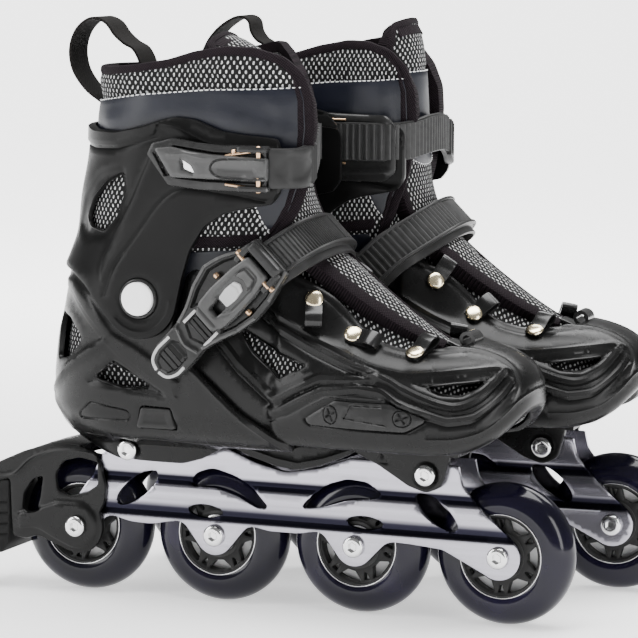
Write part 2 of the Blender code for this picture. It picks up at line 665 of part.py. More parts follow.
def instep_buckle_base():
    """The buckle's base plate with its tapered ends."""
    near = STRAP_SIDE + STRAP_THICKNESS + 0.4
    outline = [(20.0, -8.0), (36.0, -13.0), (66.0, -14.5), (84.0, -12.0), (84.0, 12.0), (66.0, 14.5), (36.0, 13.0), (20.0, 8.0)]
    return strap_block("instep_buckle_base", outline, near, near + 2.2)


def instep_buckle_lever():
    """The ratchet lever, hinged near the strap's upper end."""
    near = STRAP_SIDE + STRAP_THICKNESS + 3.6
    end = LEVER_HINGE + 1.5
    outline = [(24.0, -6.0), (38.0, -9.5), (end, -9.0), (end, 9.0), (38.0, 9.5), (24.0, 6.0)]
    return strap_block("instep_buckle_lever", outline, near, near + 4.2)


def cuff_strap():
    """The cuff's strap from the outer buckle round the front to the inner side."""
    middle, height = 241.0, 10.5
    reach, half = 146.5, 49.8
    line = [(-half, 112.0), (-half + 0.6, 120.0), (-47.0, 130.0), (-41.0, 139.0), (-30.0, 144.5), (-12.0, reach)]
    line += [(-side, x) for side, x in reversed(line)]
    return band("cuff_strap", line, height, 2.8, lambda side, x, up: (x, side, middle + up))


def cuff_buckle_lever():
    """The cuff's lever, seen from outside as a long tapered plate."""
    outline = [(65.0, 252.0), (84.0, 253.5), (108.0, 252.5), (128.0, 251.0), (128.0, 231.0), (100.0, 231.0), (76.0, 235.0)]
    return side_prism("cuff_buckle_lever", outline, -57.4, -53.2)


# --------------------------------------------------------------------------------------- assembly
def build_skate():
    """All pieces of one skate, as (name, object)."""
    pieces = []
    for i in range(AXLE_COUNT):
        x = AXLE_PITCH * i
        seat = TAB_OUTER if i == 0 else FRAME_OUTER
        pieces.append((f"wheel_{i + 1}", wheel(x)))
        pieces.append((f"bearings_{i + 1}", bearings(x)))
        pieces.append((f"axle_{i + 1}", cross_bolt(x, WHEEL_RADIUS, AXLE_RADIUS, 5.5, -seat - 0.3, seat + 0.3, 2.0)))
    pieces += [
        ("frame", frame()),
        ("brake_arm", brake_arm()),
        ("brake_pad", brake_pad()),
        ("front_bolt", cross_bolt(*BOLT_FRONT, BOLT_RADIUS, BOLT_HEAD, -TAB_OUTER - 0.3, TAB_OUTER + 0.3, 2.0)),
        ("rear_bolt", cross_bolt(*BOLT_REAR, BOLT_RADIUS, BOLT_HEAD, -BLOCK_OUTER - 2.2, BLOCK_OUTER + 2.2, 2.0)),
        ("heel_shell", heel_shell()),
        ("toe_shell", toe_shell()),
        ("push_button", push_button()),
        ("cuff", cuff()),
        ("outer_pivot", pivot_bolt(50.6, 40.4)),
        ("inner_pivot", mirrored(pivot_bolt(49.4, 40.4))),
        ("liner", liner()),
        ("tongue", tongue()),
        ("heel_loop", heel_loop()),
        ("instep_strap", instep_strap()),
        ("instep_buckle_base", instep_buckle_base()),
        ("instep_buckle_lever", instep_buckle_lever()),
        ("cuff_strap", cuff_strap()),
        ("cuff_buckle_lever", cuff_buckle_lever()),
    ]
    return pieces


def mirrored(item):
    """Turn an object into its mirror image across the skate's middle."""
    item.data.transform(Matrix.Diagonal((1.0, -1.0, 1.0, 1.0)))
    item.data.flip_normals()
    return item


def place_pair(pieces):
    """Name and place the right skate, and add the left skate as its mirror image."""
    centre = Matrix.Translation(Vector((-PAIR_CENTRE[0], -PAIR_CENTRE[1], 0.0)) * MM)
    axle = Vector((FRONT_AXLE_X, 0.0, 0.0)) * MM
    stand = axle + Vector((*PAIR_OFFSET, 0.0)) * MM
    turned = Matrix.Translation(stand) @ Matrix.Rotation(TOE_OUT, 4, "Z") @ Matrix.Translation(-axle)
    plain_axle = dict(pieces)["axle_2"]
    for piece, item in pieces:
        kind = piece.rstrip("_1234")
        smooth(item)
        if not piece.startswith("brake"):
            copy = bpy.data.objects.new(f"left_{piece}", item.data.copy())
            bpy.context.scene.collection.objects.link(copy)
            if piece == "axle_1":
                copy.data = plain_axle.data.copy()
                copy.data.transform(Matrix.Translation(-axle / (AXLE_COUNT - 1)))
            mirrored(copy)
            copy.data.transform(centre @ turned)
            paint(copy, kind)
        item.name = f"right_{piece}"
        item.data.transform(centre)
        paint(item, kind)


def main():
    for item in list(bpy.data.objects):
        bpy.data.objects.remove(item, do_unlink=True)
    place_pair(build_skate())


main()
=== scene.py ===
"""Looks for a pair of size-adjustable inline skates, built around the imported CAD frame.

Every piece is made once, in millimetres, in the right skate's own frame: +X towards the toe, +Z up,
the floor at z = 0, the rear axle at x = 0 and the outer side at -Y. place() then sets it on the
right skate, or mirrors it and turns it a little outwards for the left one.
Moulded walls are panels: a flat outline with holes that is laid on a curved surface, given its
relief and thickness, and closed at its edges.
"""

import math

import bmesh
import bpy
import numpy as np
from mathutils import Matrix, Vector
from mathutils.geometry import delaunay_2d_cdt


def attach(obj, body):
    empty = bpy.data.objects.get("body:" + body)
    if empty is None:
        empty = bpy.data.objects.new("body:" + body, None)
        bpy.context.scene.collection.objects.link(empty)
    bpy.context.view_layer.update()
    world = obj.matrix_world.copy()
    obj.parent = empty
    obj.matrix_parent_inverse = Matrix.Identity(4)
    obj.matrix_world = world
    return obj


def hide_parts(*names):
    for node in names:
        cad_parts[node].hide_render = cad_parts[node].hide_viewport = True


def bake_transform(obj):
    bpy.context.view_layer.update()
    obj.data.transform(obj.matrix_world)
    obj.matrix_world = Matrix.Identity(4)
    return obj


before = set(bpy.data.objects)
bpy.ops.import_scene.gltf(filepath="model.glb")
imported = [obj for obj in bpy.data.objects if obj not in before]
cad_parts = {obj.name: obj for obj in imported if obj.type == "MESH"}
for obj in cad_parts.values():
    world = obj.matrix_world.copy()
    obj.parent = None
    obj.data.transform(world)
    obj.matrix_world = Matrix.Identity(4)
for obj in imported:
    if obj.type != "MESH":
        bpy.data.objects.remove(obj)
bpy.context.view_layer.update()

# ------------------------------------------------------------------ driving dimensions, millimetres
MM = 0.001
FILL_INSIDE = 1  # delaunay_2d_cdt's output type: only triangles inside the outline
WHEEL_RADIUS = 38.0
WHEEL_HALF = 12.0
AXLE_PITCH = 81.0
AXLES = [AXLE_PITCH * i for i in range(4)]
WHEEL_TURN = 17.0  # degrees from each wheel to the next, so that the spokes do not line up
HUB_RADIUS = 22.0
BEARING_RADIUS = 11.0
FRAME_INNER = 12.4
FRAME_OUTER = 15.0
CHEEK_INNER = 15.4
CHEEK_OUTER = 19.4
SOLE_OUTER = 19.0
LUG_OUTER = 19.4
CAP_RADIUS = 9.0
CUFF_BED_Y, CUFF_TAB_Y, CUFF_LEVER_Y, EYE_PLATE_Y, CUFF_PIN_Y = -54.0, -57.6, -57.8, -55.0, -55.6
INNER_PAD_Y, INNER_PIN_Y = -49.3, 51.4
INNER_CLAMP = {"right": 52.8, "left": 53.7}
INSTEP_BED_Y, INSTEP_BAR_Y, INSTEP_ARM_Y = -53.6, -58.6, -57.2
INSTEP_LEVER_Y, INSTEP_LINE_Y, INSTEP_KEY_Y = -58.4, -54.3, -57.7
BOLT_REAR = (33.0, 83.0)
BOLT_FRONT = (204.0, 80.0)
PIVOT = (51.0, 169.0)
WALL = 3.0
PAIR_OFFSET = (26.0, 115.5)
TOE_OUT = math.radians(3.3)
PAIR_CENTRE = (122.968, 54.392)
FRONT_AXLE = AXLES[-1]
SIDES = ("right", "left")
FLANKS = (1.0, -1.0)  # the outer and the inner side of one skate
PROBE = 0.4  # how far from a point its surface's slope is felt for


# ---------------------------------------------------------------------------------- shape toolkit
class Shape:
    """Points in millimetres, faces as tuples, and flat coordinates for the texture."""

    def __init__(self, points, faces, flat=None):
        self.points = np.asarray(points, float).reshape(-1, 3)
        self.faces = [tuple(int(i) for i in face) for face in faces]
        self.flat = None if flat is None else np.asarray(flat, float).reshape(-1, 2)

    def moved(self, matrix=None, shift=(0.0, 0.0, 0.0)):
        """A copy turned by a 3 x 3 matrix and then shifted."""
        turn = np.eye(3) if matrix is None else np.asarray(matrix, float)
        points = self.points @ turn.T + np.asarray(shift, float)
        faces = self.faces if np.linalg.det(turn) > 0 else [face[::-1] for face in self.faces]
        return Shape(points, faces, self.flat)

    def mirrored(self):
        """The same piece on the inner side of the skate."""
        return self.moved(np.diag([1.0, -1.0, 1.0]))


def joined(*shapes):
    """Several shapes as one."""
    points, faces, flats, count = [], [], [], 0
    for shape in shapes:
        points.append(shape.points)
        faces += [tuple(i + count for i in face) for face in shape.faces]
        flats.append(np.zeros((len(shape.points), 2)) if shape.flat is None else shape.flat)
        count += len(shape.points)
    return Shape(np.vstack(points), faces, np.vstack(flats))


class Table:
    """Smooth, overshoot-free interpolation through rows of (key, value, ...)."""

    def __init__(self, rows):
        data = np.array(rows, float)
        self.key, self.value = data[:, 0], data[:, 1:]
        slope = np.diff(self.value, axis=0) / np.diff(self.key)[:, None]
        low, high = slope[:-1], slope[1:]
        with np.errstate(divide="ignore", invalid="ignore"):
            inner = np.where(low * high > 0.0, 2.0 * low * high / (low + high), 0.0)
        self.slope = np.vstack([slope[:1], inner, slope[-1:]])

    def __call__(self, key, column=0):
        key = np.clip(np.asarray(key, float), self.key[0], self.key[-1])
        i = np.clip(np.searchsorted(self.key, key) - 1, 0, len(self.key) - 2)
        width = self.key[i + 1] - self.key[i]
        t = (key - self.key[i]) / width
        a, b = self.value[i, column], self.value[i + 1, column]
        m, n = self.slope[i, column] * width, self.slope[i + 1, column] * width
        rest = 1.0 - t
        return a * (1 + 2 * t) * rest**2 + b * t**2 * (3 - 2 * t) + m * t * rest**2 - n * t**2 * rest


def arc(cx, cz, radius, start, end, count):
    """Points on an arc, angles in degrees."""
    turn = np.radians(np.linspace(start, end, count + 1))
    return [(cx + radius * math.cos(a), cz + radius * math.sin(a)) for a in turn]


def ring(cx, cz, radius, count=40):
    """A closed round outline."""
    return arc(cx, cz, radius, 0.0, 360.0, count)[:-1]


def rounded(corners, radius, closed=True, steps=5):
    """An outline with its corners rounded. A corner may carry its own radius as a third number."""
    result, count = [], len(corners)
    for i, corner in enumerate(corners):
        here = np.array(corner[:2], float)
        wanted = corner[2] if len(corner) > 2 else radius
        if not closed and i in (0, count - 1):
            result.append(tuple(here))
            continue
        before = np.array(corners[i - 1][:2], float) - here
        after = np.array(corners[(i + 1) % count][:2], float) - here
        near, far = np.linalg.norm(before), np.linalg.norm(after)
        bend = math.acos(np.clip(before @ after / (near * far), -1.0, 1.0))
        reach = min(wanted / max(math.tan(bend / 2.0), 1e-3), 0.48 * near, 0.48 * far)
        if reach < 0.05 or bend > 3.1:
            result.append(tuple(here))
            continue
        start, end = here + before / near * reach, here + after / far * reach
        for t in np.linspace(0.0, 1.0, steps + 1):
            point = (1 - t) ** 2 * start + 2 * t * (1 - t) * here + t**2 * end
            result.append(tuple(point))
    return result


def unit(vectors):
    """Rows of vectors, each scaled to length one."""
    return vectors / np.maximum(np.linalg.norm(vectors, axis=1), 1e-9)[:, None]


def beside(ahead):
    """Flat directions turned a quarter to the left."""
    return np.column_stack([-ahead[:, 1], ahead[:, 0]])


def run_along(points):
    """The length of a line from its start to each of its points."""
    return np.concatenate([[0.0], np.cumsum(np.linalg.norm(np.diff(points, axis=0), axis=1))])


def tube_faces(count, rows, closed=False, capped=True):
    """Faces of a tube of count rings with rows points each."""
    faces = []
    for i in range(count if closed else count - 1):
        here, there = i * rows, (i + 1) % count * rows
        faces += [(here + k, here + (k + 1) % rows, there + (k + 1) % rows, there + k) for k in range(rows)]
    if capped and not closed:
        faces += [tuple(range(rows))[::-1], tuple(range((count - 1) * rows, count * rows))]
    return faces


def circle_turns(count):
    """Angles of a full circle in equal steps."""
    return np.linspace(0.0, 2.0 * math.pi, count, endpoint=False)


def resampled(line, step, closed=True):
    """Points about a step apart along a line."""
    points = np.array([p[:2] for p in line], float)
    if closed:
        points = np.vstack([points, points[:1]])
    along = run_along(points)
    count = max(3, int(round(along[-1] / step)))
    where = np.linspace(0.0, along[-1], count + 1)
    result = np.column_stack([np.interp(where, along, points[:, k]) for k in (0, 1)])
    return result[:-1] if closed else result


def smooth_line(points, step=2.0):
    """A smooth curve through points (x, y[, z]), as an array with points about a step apart."""
    points = np.array(points, float)
    lengths = np.linalg.norm(np.diff(points, axis=0), axis=1)
    along = np.concatenate([[0.0], np.cumsum(np.sqrt(lengths))])
    slope = np.gradient(points, along, axis=0)
    pieces = []
    for i, length in enumerate(lengths):
        width = along[i + 1] - along[i]
        t = np.linspace(0.0, 1.0, max(2, int(math.ceil(length / step))) + 1)[:-1, None]
        rest = 1.0 - t
        pieces.append(points[i] * (1 + 2 * t) * rest**2 + points[i + 1] * t**2 * (3 - 2 * t)
                      + slope[i] * width * t * rest**2 - slope[i + 1] * width * t**2 * rest)
    return np.vstack(pieces + [points[-1:]])


def distance(points, line, closed=False):
    """Distance of flat points from a line of segments."""
    line = np.array([p[:2] for p in line], float)
    if closed:
        line = np.vstack([line, line[:1]])
    start, span = line[:-1], np.diff(line, axis=0)
    size = np.maximum((span**2).sum(axis=1), 1e-12)
    result = np.empty(len(points))
    for low in range(0, len(points), 4000):
        gap = points[low:low + 4000, None, :] - start[None]
        share = np.clip((gap * span[None]).sum(axis=2) / size, 0.0, 1.0)
        near = gap - share[..., None] * span[None]
        result[low:low + 4000] = np.sqrt((near**2).sum(axis=2).min(axis=1))
    return result


def inside(points, loop):
    """Which flat points a closed outline encloses."""
    loop = np.array([p[:2] for p in loop], float)
    after = np.roll(loop, -1, axis=0)
    found = np.zeros(len(points), bool)
    for (a0, b0), (a1, b1) in zip(loop, after):
        if b0 == b1:
            continue
        crosses = (b0 > points[:, 1]) != (b1 > points[:, 1])
        found ^= crosses & (points[:, 0] < a0 + (a1 - a0) * (points[:, 1] - b0) / (b1 - b0))
    return found


def ease(value):
    """0 to 1 with a soft start and end."""
    value = np.clip(value, 0.0, 1.0)
    return value * value * (3.0 - 2.0 * value)


class Ridge:
    """A rib along a line, or a groove when the height is negative. The crown is its flat share."""

    def __init__(self, line, half_width, height, closed=False, crown=0.0):
        self.line, self.half, self.rise, self.closed = np.array(line, float), half_width, height, closed
        self.crown = crown
        self.offsets = (-1.0, -crown, 0.0, crown, 1.0) if crown else (-1.0, -0.5, 0.0, 0.5, 1.0)

    def height(self, flat):
        away = distance(flat, self.line, self.closed) / self.half
        return self.rise * ease((1.0 - away) / (1.0 - self.crown))


class Plate:
    """A raised field inside a loop, or a recess when the height is negative."""

    def __init__(self, loop, ramp, height):
        self.line, self.half, self.rise, self.closed = np.array(loop, float), ramp, height, True
        self.offsets = (0.0, 0.5, 1.0)

    def height(self, flat):
        away = distance(flat, self.line, True) * np.where(inside(flat, self.line), 1.0, -1.0)
        return self.rise * ease(away / self.half)


def feature_rows(feature, step):
    """Points on and beside a feature's line, so that its edges come out crisp."""
    line = resampled(feature.line, step, feature.closed)
    ahead = np.roll(line, -1, axis=0) - np.roll(line, 1, axis=0)
    if not feature.closed:
        ahead[0], ahead[-1] = line[1] - line[0], line[-1] - line[-2]
    across = beside(unit(ahead))
    if feature.closed and not inside(line[:1] + 0.01 * across[:1], feature.line)[0]:
        across = -across
    return np.vstack([line + across * feature.half * offset for offset in feature.offsets])


def kept_apart(points, fixed, gap):
    """The points that are at least a gap from every fixed point."""
    if not len(points) or not len(fixed):
        return points
    keep = np.ones(len(points), bool)
    for low in range(0, len(points), 1500):
        block = points[low:low + 1500]
        square = ((block[:, None, :] - fixed[None]) ** 2).sum(axis=2).min(axis=1)
        keep[low:low + 1500] = square >= gap * gap
    return points[keep]


def thinned(points, gap):
    """The points with near doubles dropped, on a grid of cells a gap wide."""
    cells = np.floor(points / gap).astype(int)
    first = np.unique(cells, axis=0, return_index=True)[1]
    return points[np.sort(first)]


def normals(surface, flat):
    """The surface's outward directions at flat points."""
    ahead = surface(flat + [PROBE, 0.0]) - surface(flat - [PROBE, 0.0])
    up = surface(flat + [0.0, PROBE]) - surface(flat - [0.0, PROBE])
    return unit(np.cross(ahead, up))


def raised(surface, height):
    """A surface lifted along its normal."""
    return lambda flat: surface(flat) + normals(surface, flat) * height


def panel(outline, surface, thickness, holes=(), features=(), spacing=2.4, edge=0.8, bulge=None, back=None):
    """A closed wall: the outline with its holes, laid on a surface and rounded at its outer edges.

    surface(flat) gives points. bulge(flat) adds height, and back(flat) gives the wall's thickness.
    """
    loops = [resampled(loop, spacing * 0.75) for loop in (outline, *holes)]
    border = np.vstack(loops)
    constraints, start = [], 0
    for loop in loops:
        constraints += [(start + i, start + (i + 1) % len(loop)) for i in range(len(loop))]
        start += len(loop)

    def to_border(flat):
        return np.min([distance(flat, loop, True) for loop in loops], axis=0)

    def in_material(flat):
        found = inside(flat, loops[0])
        for loop in loops[1:]:
            found &= ~inside(flat, loop)
        return found

    inner = []
    for loop in loops:
        ahead = np.roll(loop, -1, axis=0) - np.roll(loop, 1, axis=0)
        across = beside(unit(ahead))
        for share in (0.3, 1.0):
            for sign in (-1.0, 1.0):
                row = loop + across * sign * edge * share
                row = row[in_material(row)]
                inner.append(row[to_border(row) > edge * share * 0.92])
    rows = [feature_rows(feature, min(spacing, max(0.8, 0.62 * feature.half))) for feature in features]
    if rows:
        row = thinned(np.vstack(rows), 0.45)
        row = row[in_material(row)]
        inner.append(row[to_border(row) > edge * 1.35])
    fixed = np.vstack([border, *inner])
    low, high = border.min(axis=0), border.max(axis=0)
    step = spacing * math.sqrt(0.75)
    grid = []
    for k, v in enumerate(np.arange(low[1] + step / 2.0, high[1], step)):
        us = np.arange(low[0] + spacing * (0.5 if k % 2 else 0.0), high[0], spacing)
        grid.append(np.column_stack([us, np.full(len(us), v)]))
    grid = np.vstack(grid)
    grid = grid[in_material(grid)]
    grid = kept_apart(grid[to_border(grid) > edge + 0.5 * spacing], fixed, 0.62 * spacing)
    seeds = np.vstack([fixed, grid])
    found = delaunay_2d_cdt([Vector(p) for p in seeds], constraints, [], FILL_INSIDE, 1e-5)
    flat = np.array([tuple(p) for p in found[0]])
    triangles = np.array([face for face in found[2] if len(face) == 3])
    triangles = triangles[in_material(flat[triangles].mean(axis=1))]
    used = np.unique(triangles)
    renumber = np.full(len(flat), -1)
    renumber[used] = np.arange(len(used))
    flat, triangles = flat[used], renumber[triangles]
    a, b, c = (flat[triangles[:, k]] for k in range(3))
    area = (b[:, 0] - a[:, 0]) * (c[:, 1] - a[:, 1]) - (b[:, 1] - a[:, 1]) * (c[:, 0] - a[:, 0])
    triangles[area < 0] = triangles[area < 0][:, ::-1]

    gap = to_border(flat)
    rise = edge - np.sqrt(np.maximum(edge**2 - np.maximum(edge - gap, 0.0) ** 2, 0.0))
    height = -rise
    for feature in features:
        height = height + feature.height(flat) * ease(gap / max(edge, 0.3))
    if bulge is not None:
        height = height + bulge(flat)
    normal = normals(surface, flat)
    base = surface(flat)
    outer = base + normal * height[:, None]
    depth = np.full(len(flat), thickness) if back is None else back(flat)
    inner_side = base - normal * depth[:, None]

    count = len(flat)
    sides = {}
    for i, j, k in triangles:
        for edge_pair in ((i, j), (j, k), (k, i)):
            sides[edge_pair] = sides.get(edge_pair, 0) + 1
    rim = [(i, j) for i, j in sides if (j, i) not in sides]
    faces = [tuple(t) for t in triangles] + [(t[2] + count, t[1] + count, t[0] + count) for t in triangles]
    faces += [(j, i, i + count, j + count) for i, j in rim]
    return Shape(np.vstack([outer, inner_side]), faces, np.vstack([flat, flat]))


def side_plane(y):
    """The flat surface at one y, with x and z as its flat coordinates."""
    return lambda flat: np.column_stack([flat[:, 0], np.full(len(flat), y), flat[:, 1]])


def turned(profile, segments=48, centre=(0.0, 0.0), closed=False):
    """(y, radius) points turned about a cross axis. Ends of an open profile lie on the axis."""
    profile = np.array(profile, float)
    rows = len(profile)
    turn = circle_turns(segments)
    points = np.empty((segments, rows, 3))
    points[..., 0] = centre[0] + profile[None, :, 1] * np.cos(turn)[:, None]
    points[..., 1] = profile[None, :, 0]
    points[..., 2] = centre[1] + profile[None, :, 1] * np.sin(turn)[:, None]
    faces = []
    for k in range(segments):
        here, there = k * rows, (k + 1) % segments * rows
        for i in range(rows if closed else rows - 1):
            j = (i + 1) % rows
            face = (here + i, here + j, there + j, there + i)
            if profile[i, 1] < 1e-6:
                face = (i, here + j, there + j)
            elif profile[j, 1] < 1e-6:
                face = (here + i, j, there + i)
            faces.append(face)
    around = np.repeat(turn * 20.0, rows)
    flat = np.column_stack([around, np.tile(profile[:, 0] + profile[:, 1], segments)])
    return Shape(points.reshape(-1, 3), faces, flat)


def band(path, across, profile, closed=False):
    """A strip swept along a path. across(i) gives the width and outward directions at point i,
    and profile holds (share across, height) points in a closed loop, in millimetres."""
    path = np.asarray(path, float)
    profile = np.asarray(profile, float)
    rows = len(profile)
    points, flat = [], []
    length = run_along(path)
    for i, point in enumerate(path):
        wide, out = across(i)
        points.append(point + profile[:, :1] * np.asarray(wide) + profile[:, 1:] * np.asarray(out))
        flat.append(np.column_stack([np.full(rows, length[i]), profile[:, 0]]))
    return Shape(np.vstack(points), tube_faces(len(path), rows, closed), np.vstack(flat))


def rounded_strip(half, low, high, corner=0.6):
    """A strip's cross-section: flat below, with rounded upper edges."""
    c = min(corner, (high - low) * 0.5)
    return [(-half, low), (-half, high - c), (-half + 0.3 * c, high - 0.3 * c), (-half + c, high),
            (half - c, high), (half - 0.3 * c, high - 0.3 * c), (half, high - c), (half, low)]


# ------------------------------------------------------------------------------ placing the pieces
def place(points, side):
    """Points of a skate's own frame, in millimetres, as world points in metres."""
    points = np.array(points, float).reshape(-1, 3)
    if side == "left":
        dx, y = points[:, 0] - FRONT_AXLE, -points[:, 1]
        x = FRONT_AXLE + PAIR_OFFSET[0] + dx * math.cos(TOE_OUT) - y * math.sin(TOE_OUT)
        y = PAIR_OFFSET[1] + dx * math.sin(TOE_OUT) + y * math.cos(TOE_OUT)
        points = np.column_stack([x, y, points[:, 2]])
    return (points - [*PAIR_CENTRE, 0.0]) * MM


def build(name, shape, material, body, slot, replaces=(), sides=SIDES, crease=38.0, deform=None):
    """The piece on each skate, riding on its body, with its CAD nodes taken out of view."""
    made = []
    for side in sides:
        mesh = bpy.data.meshes.new(f"{side}_{name}")
        faces = shape.faces if side == "right" else [face[::-1] for face in shape.faces]
        mesh.from_pydata([Vector(p) for p in place(shape.points, side)], [], faces)
        if shape.flat is not None:
            layer = mesh.uv_layers.new(name="flat")
            corner = np.empty(len(mesh.loops), np.int32)
            mesh.loops.foreach_get("vertex_index", corner)
            layer.data.foreach_set("uv", (shape.flat[corner] * MM).astype(np.float32).ravel())
        mesh.validate()
        work = bmesh.new()
        work.from_mesh(mesh)
        bmesh.ops.recalc_face_normals(work, faces=work.faces)
        work.to_mesh(mesh)
        work.free()
        mesh.shade_smooth()
        mesh.set_sharp_from_angle(angle=math.radians(crease))
        mesh.materials.append(material)
        item = bpy.data.objects.new(mesh.name, mesh)
        bpy.context.scene.collection.objects.link(item)
        if deform is not None:
            deform(item, side)
        else:
            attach(item, f"{side}_{body}")
        nodes = [f"{side}_{node}" for node in replaces if f"{side}_{node}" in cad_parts]
        if nodes:
            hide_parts(*nodes)
        made.append(item)
    return made


# -------------------------------------------------------------------------------------- materials
class Paint:
    """A node material in the making."""

    def __init__(self, name, roughness=0.5, metallic=0.0, specular=0.5, coat=0.0, coat_roughness=0.1,
                 sheen=0.0, sheen_roughness=0.5):
        self.material = bpy.data.materials.new(name)
        self.material.use_nodes = True
        self.nodes = self.material.node_tree.nodes
        self.links = self.material.node_tree.links
        self.shader = self.nodes["Principled BSDF"]
        for socket, value in (("Roughness", roughness), ("Metallic", metallic),
                              ("Specular IOR Level", specular), ("Coat Weight", coat),
                              ("Coat Roughness", coat_roughness), ("Sheen Weight", sheen),
                              ("Sheen Roughness", sheen_roughness)):
            self.shader.inputs[socket].default_value = value

    def node(self, kind, links=None, **values):
        """A new node. values set its properties or unlinked sockets, links join sockets to others."""
        item = self.nodes.new(kind)
        for key, value in values.items():
            if hasattr(item, key):
                setattr(item, key, value)
            else:
                item.inputs[key.replace("_", " ")].default_value = value
        for key, source in (links or {}).items():
            self.links.new(source, item.inputs[key])
        return item

    def place(self, scale=1.0, flat=False, stretch=(1.0, 1.0, 1.0), turn=0.0):
        """Texture coordinates in metres, times a scale."""
        source = self.node("ShaderNodeTexCoord").outputs["UV" if flat else "Object"]
        mapping = self.node("ShaderNodeMapping", {"Vector": source})
        mapping.inputs["Scale"].default_value = [scale * s for s in stretch]
        mapping.inputs["Rotation"].default_value = (0.0, 0.0, turn)
        return mapping.outputs["Vector"]

    def noise(self, scale, detail=3.0, roughness=0.5, flat=False, stretch=(1.0, 1.0, 1.0)):
        """Noise with about scale blotches per metre."""
        where = self.place(1.0, flat, stretch)
        return self.node("ShaderNodeTexNoise", {"Vector": where}, Scale=scale, Detail=detail,
                         Roughness=roughness).outputs["Fac"]

    def ramp(self, value, *stops):
        """A colour ramp. Each stop is (place, grey) or (place, (r, g, b))."""
        item = self.node("ShaderNodeValToRGB", {"Fac": value})
        ramp = item.color_ramp
        while len(ramp.elements) < len(stops):
            ramp.elements.new(0.5)
        for element, (at, colour) in zip(ramp.elements, stops):
            element.position = at
            element.color = (*colour, 1.0) if isinstance(colour, tuple) else (colour, colour, colour, 1.0)
        return item.outputs["Color"]

    def math(self, operation, a, b=None):
        """A math node on sockets or numbers."""
        item = self.node("ShaderNodeMath", operation=operation)
        for socket, value in zip(item.inputs, (a, b)):
            if value is None:
                continue
            if isinstance(value, (int, float)):
                socket.default_value = value
            else:
                self.links.new(value, socket)
        return item.outputs[0]

    def mix(self, share, low, high):
        """Two colours mixed by a share."""
        item = self.node("ShaderNodeMix", data_type="RGBA")
        self.links.new(share, item.inputs["Factor"])
        for socket, value in ((item.inputs[6], low), (item.inputs[7], high)):
            if isinstance(value, tuple):
                socket.default_value = (*value, 1.0)
            else:
                self.links.new(value, socket)
        return item.outputs[2]

    def multiply(self, a, b):
        """Two colours multiplied."""
        item = self.node("ShaderNodeMix", data_type="RGBA", blend_type="MULTIPLY")
        item.inputs["Factor"].default_value = 1.0
        self.links.new(a, item.inputs[6])
        self.links.new(b, item.inputs[7])
        return item.outputs[2]

    def bump(self, height, strength, depth=0.0005):
        """Bump from a height socket, joined to what is there already."""
        item = self.node("ShaderNodeBump", {"Height": height}, Strength=strength, Distance=depth)
        before = self.shader.inputs["Normal"]
        if before.is_linked:
            self.links.new(before.links[0].from_socket, item.inputs["Normal"])
        self.links.new(item.outputs["Normal"], before)

    def set(self, socket, value):
        self.links.new(value, self.shader.inputs[socket])

    def colour(self, value):
        self.set("Base Color", value)


def moulded(name, dark, light, roughness, grain=0.12, rub=0.035, coat=0.0, specular=0.13):
    """Moulded plastic with a fine grain, faint flow marks and slightly rubbed edges."""
    paint = Paint(name, roughness, specular=specular, coat=coat, coat_roughness=0.25)
    cloud = paint.noise(35.0, 4.0)
    base = paint.ramp(cloud, (0.3, dark), (0.72, light))
    worn = paint.ramp(paint.node("ShaderNodeNewGeometry").outputs["Pointiness"], (0.50, 0.0), (0.62, 1.0))
    patchy = paint.math("MULTIPLY", worn, paint.noise(220.0, 2.0))
    edge = tuple(c + rub for c in (light if isinstance(light, tuple) else (light,) * 3))
    paint.colour(paint.mix(patchy, base, edge))
    paint.set("Roughness", paint.math("ADD", paint.math("MULTIPLY", paint.noise(90.0, 3.0), 0.16),
                                      roughness - 0.08))
    paint.bump(paint.noise(2600.0, 2.0, 0.6), grain, 0.0003)
    paint.bump(paint.noise(55.0, 2.0), 0.05, 0.002)
    return paint.material


def brushed(name, dark, light, roughness, stretch=(12.0, 400.0, 400.0), groove_shade=None):
    """Metal with fine lines along x. Optional (z, darkness) stops over the frame's height paint shade into
    the frame's grooves.
    """
    paint = Paint(name, roughness, metallic=1.0)
    lines = paint.noise(1.0, 3.0, 0.6, stretch=stretch)
    base = paint.ramp(lines, (0.25, dark), (0.75, light))
    # Painted shade: the stops darken the frame by height, over its grooves.
    if groove_shade:
        height = paint.node("ShaderNodeSeparateXYZ", {"Vector": paint.place()}).outputs["Z"]
        base = paint.multiply(base, paint.ramp(paint.math("MULTIPLY", height, 10.0), *groove_shade))
    paint.colour(base)
    paint.set("Roughness", paint.math("ADD", paint.math("MULTIPLY", lines, 0.12), roughness - 0.06))
    paint.bump(lines, 0.03, 0.0002)
    return paint.material


SHELL = moulded("shell_plastic", 0.0026, 0.0050, 0.28, rub=0.01, specular=0.19)
CUFF = moulded("cuff_plastic", 0.0026, 0.0050, 0.32, rub=0.01, specular=0.11)
TRIM = moulded("trim_plastic", 0.008, 0.014, 0.26, grain=0.06, rub=0.03, coat=0.15)
STRAP = moulded("strap_plastic", 0.014, 0.022, 0.36, grain=0.08, rub=0.03)
BUTTON = moulded("button_plastic", 0.014, 0.020, 0.42)
HUB = moulded("hub_plastic", 0.010, 0.016, 0.34, grain=0.05)
CAP = moulded("cap_plastic", 0.92, 0.95, 0.30, grain=0.03, rub=0.0)
RUBBER = moulded("brake_rubber", 0.004, 0.008, 0.68, grain=0.3, rub=0.01)
# Painted light: near white, so that the hub's middle disc stands in for the bright backdrop seen through its
# windows.
WEB_PAINTED_LIGHT = moulded("hub_web_painted_light", 0.80, 0.88, 0.45, grain=0.05, rub=0.03)
STEEL = brushed("bolt_steel", 0.66, 0.80, 0.16, stretch=(300.0, 40.0, 300.0))
RACE = brushed("bearing_steel", 0.50, 0.66, 0.22, stretch=(40.0, 400.0, 40.0))
RIVET = brushed("rivet_brass", (0.78, 0.66, 0.44), (0.92, 0.82, 0.60), 0.20, stretch=(90.0, 90.0, 90.0))
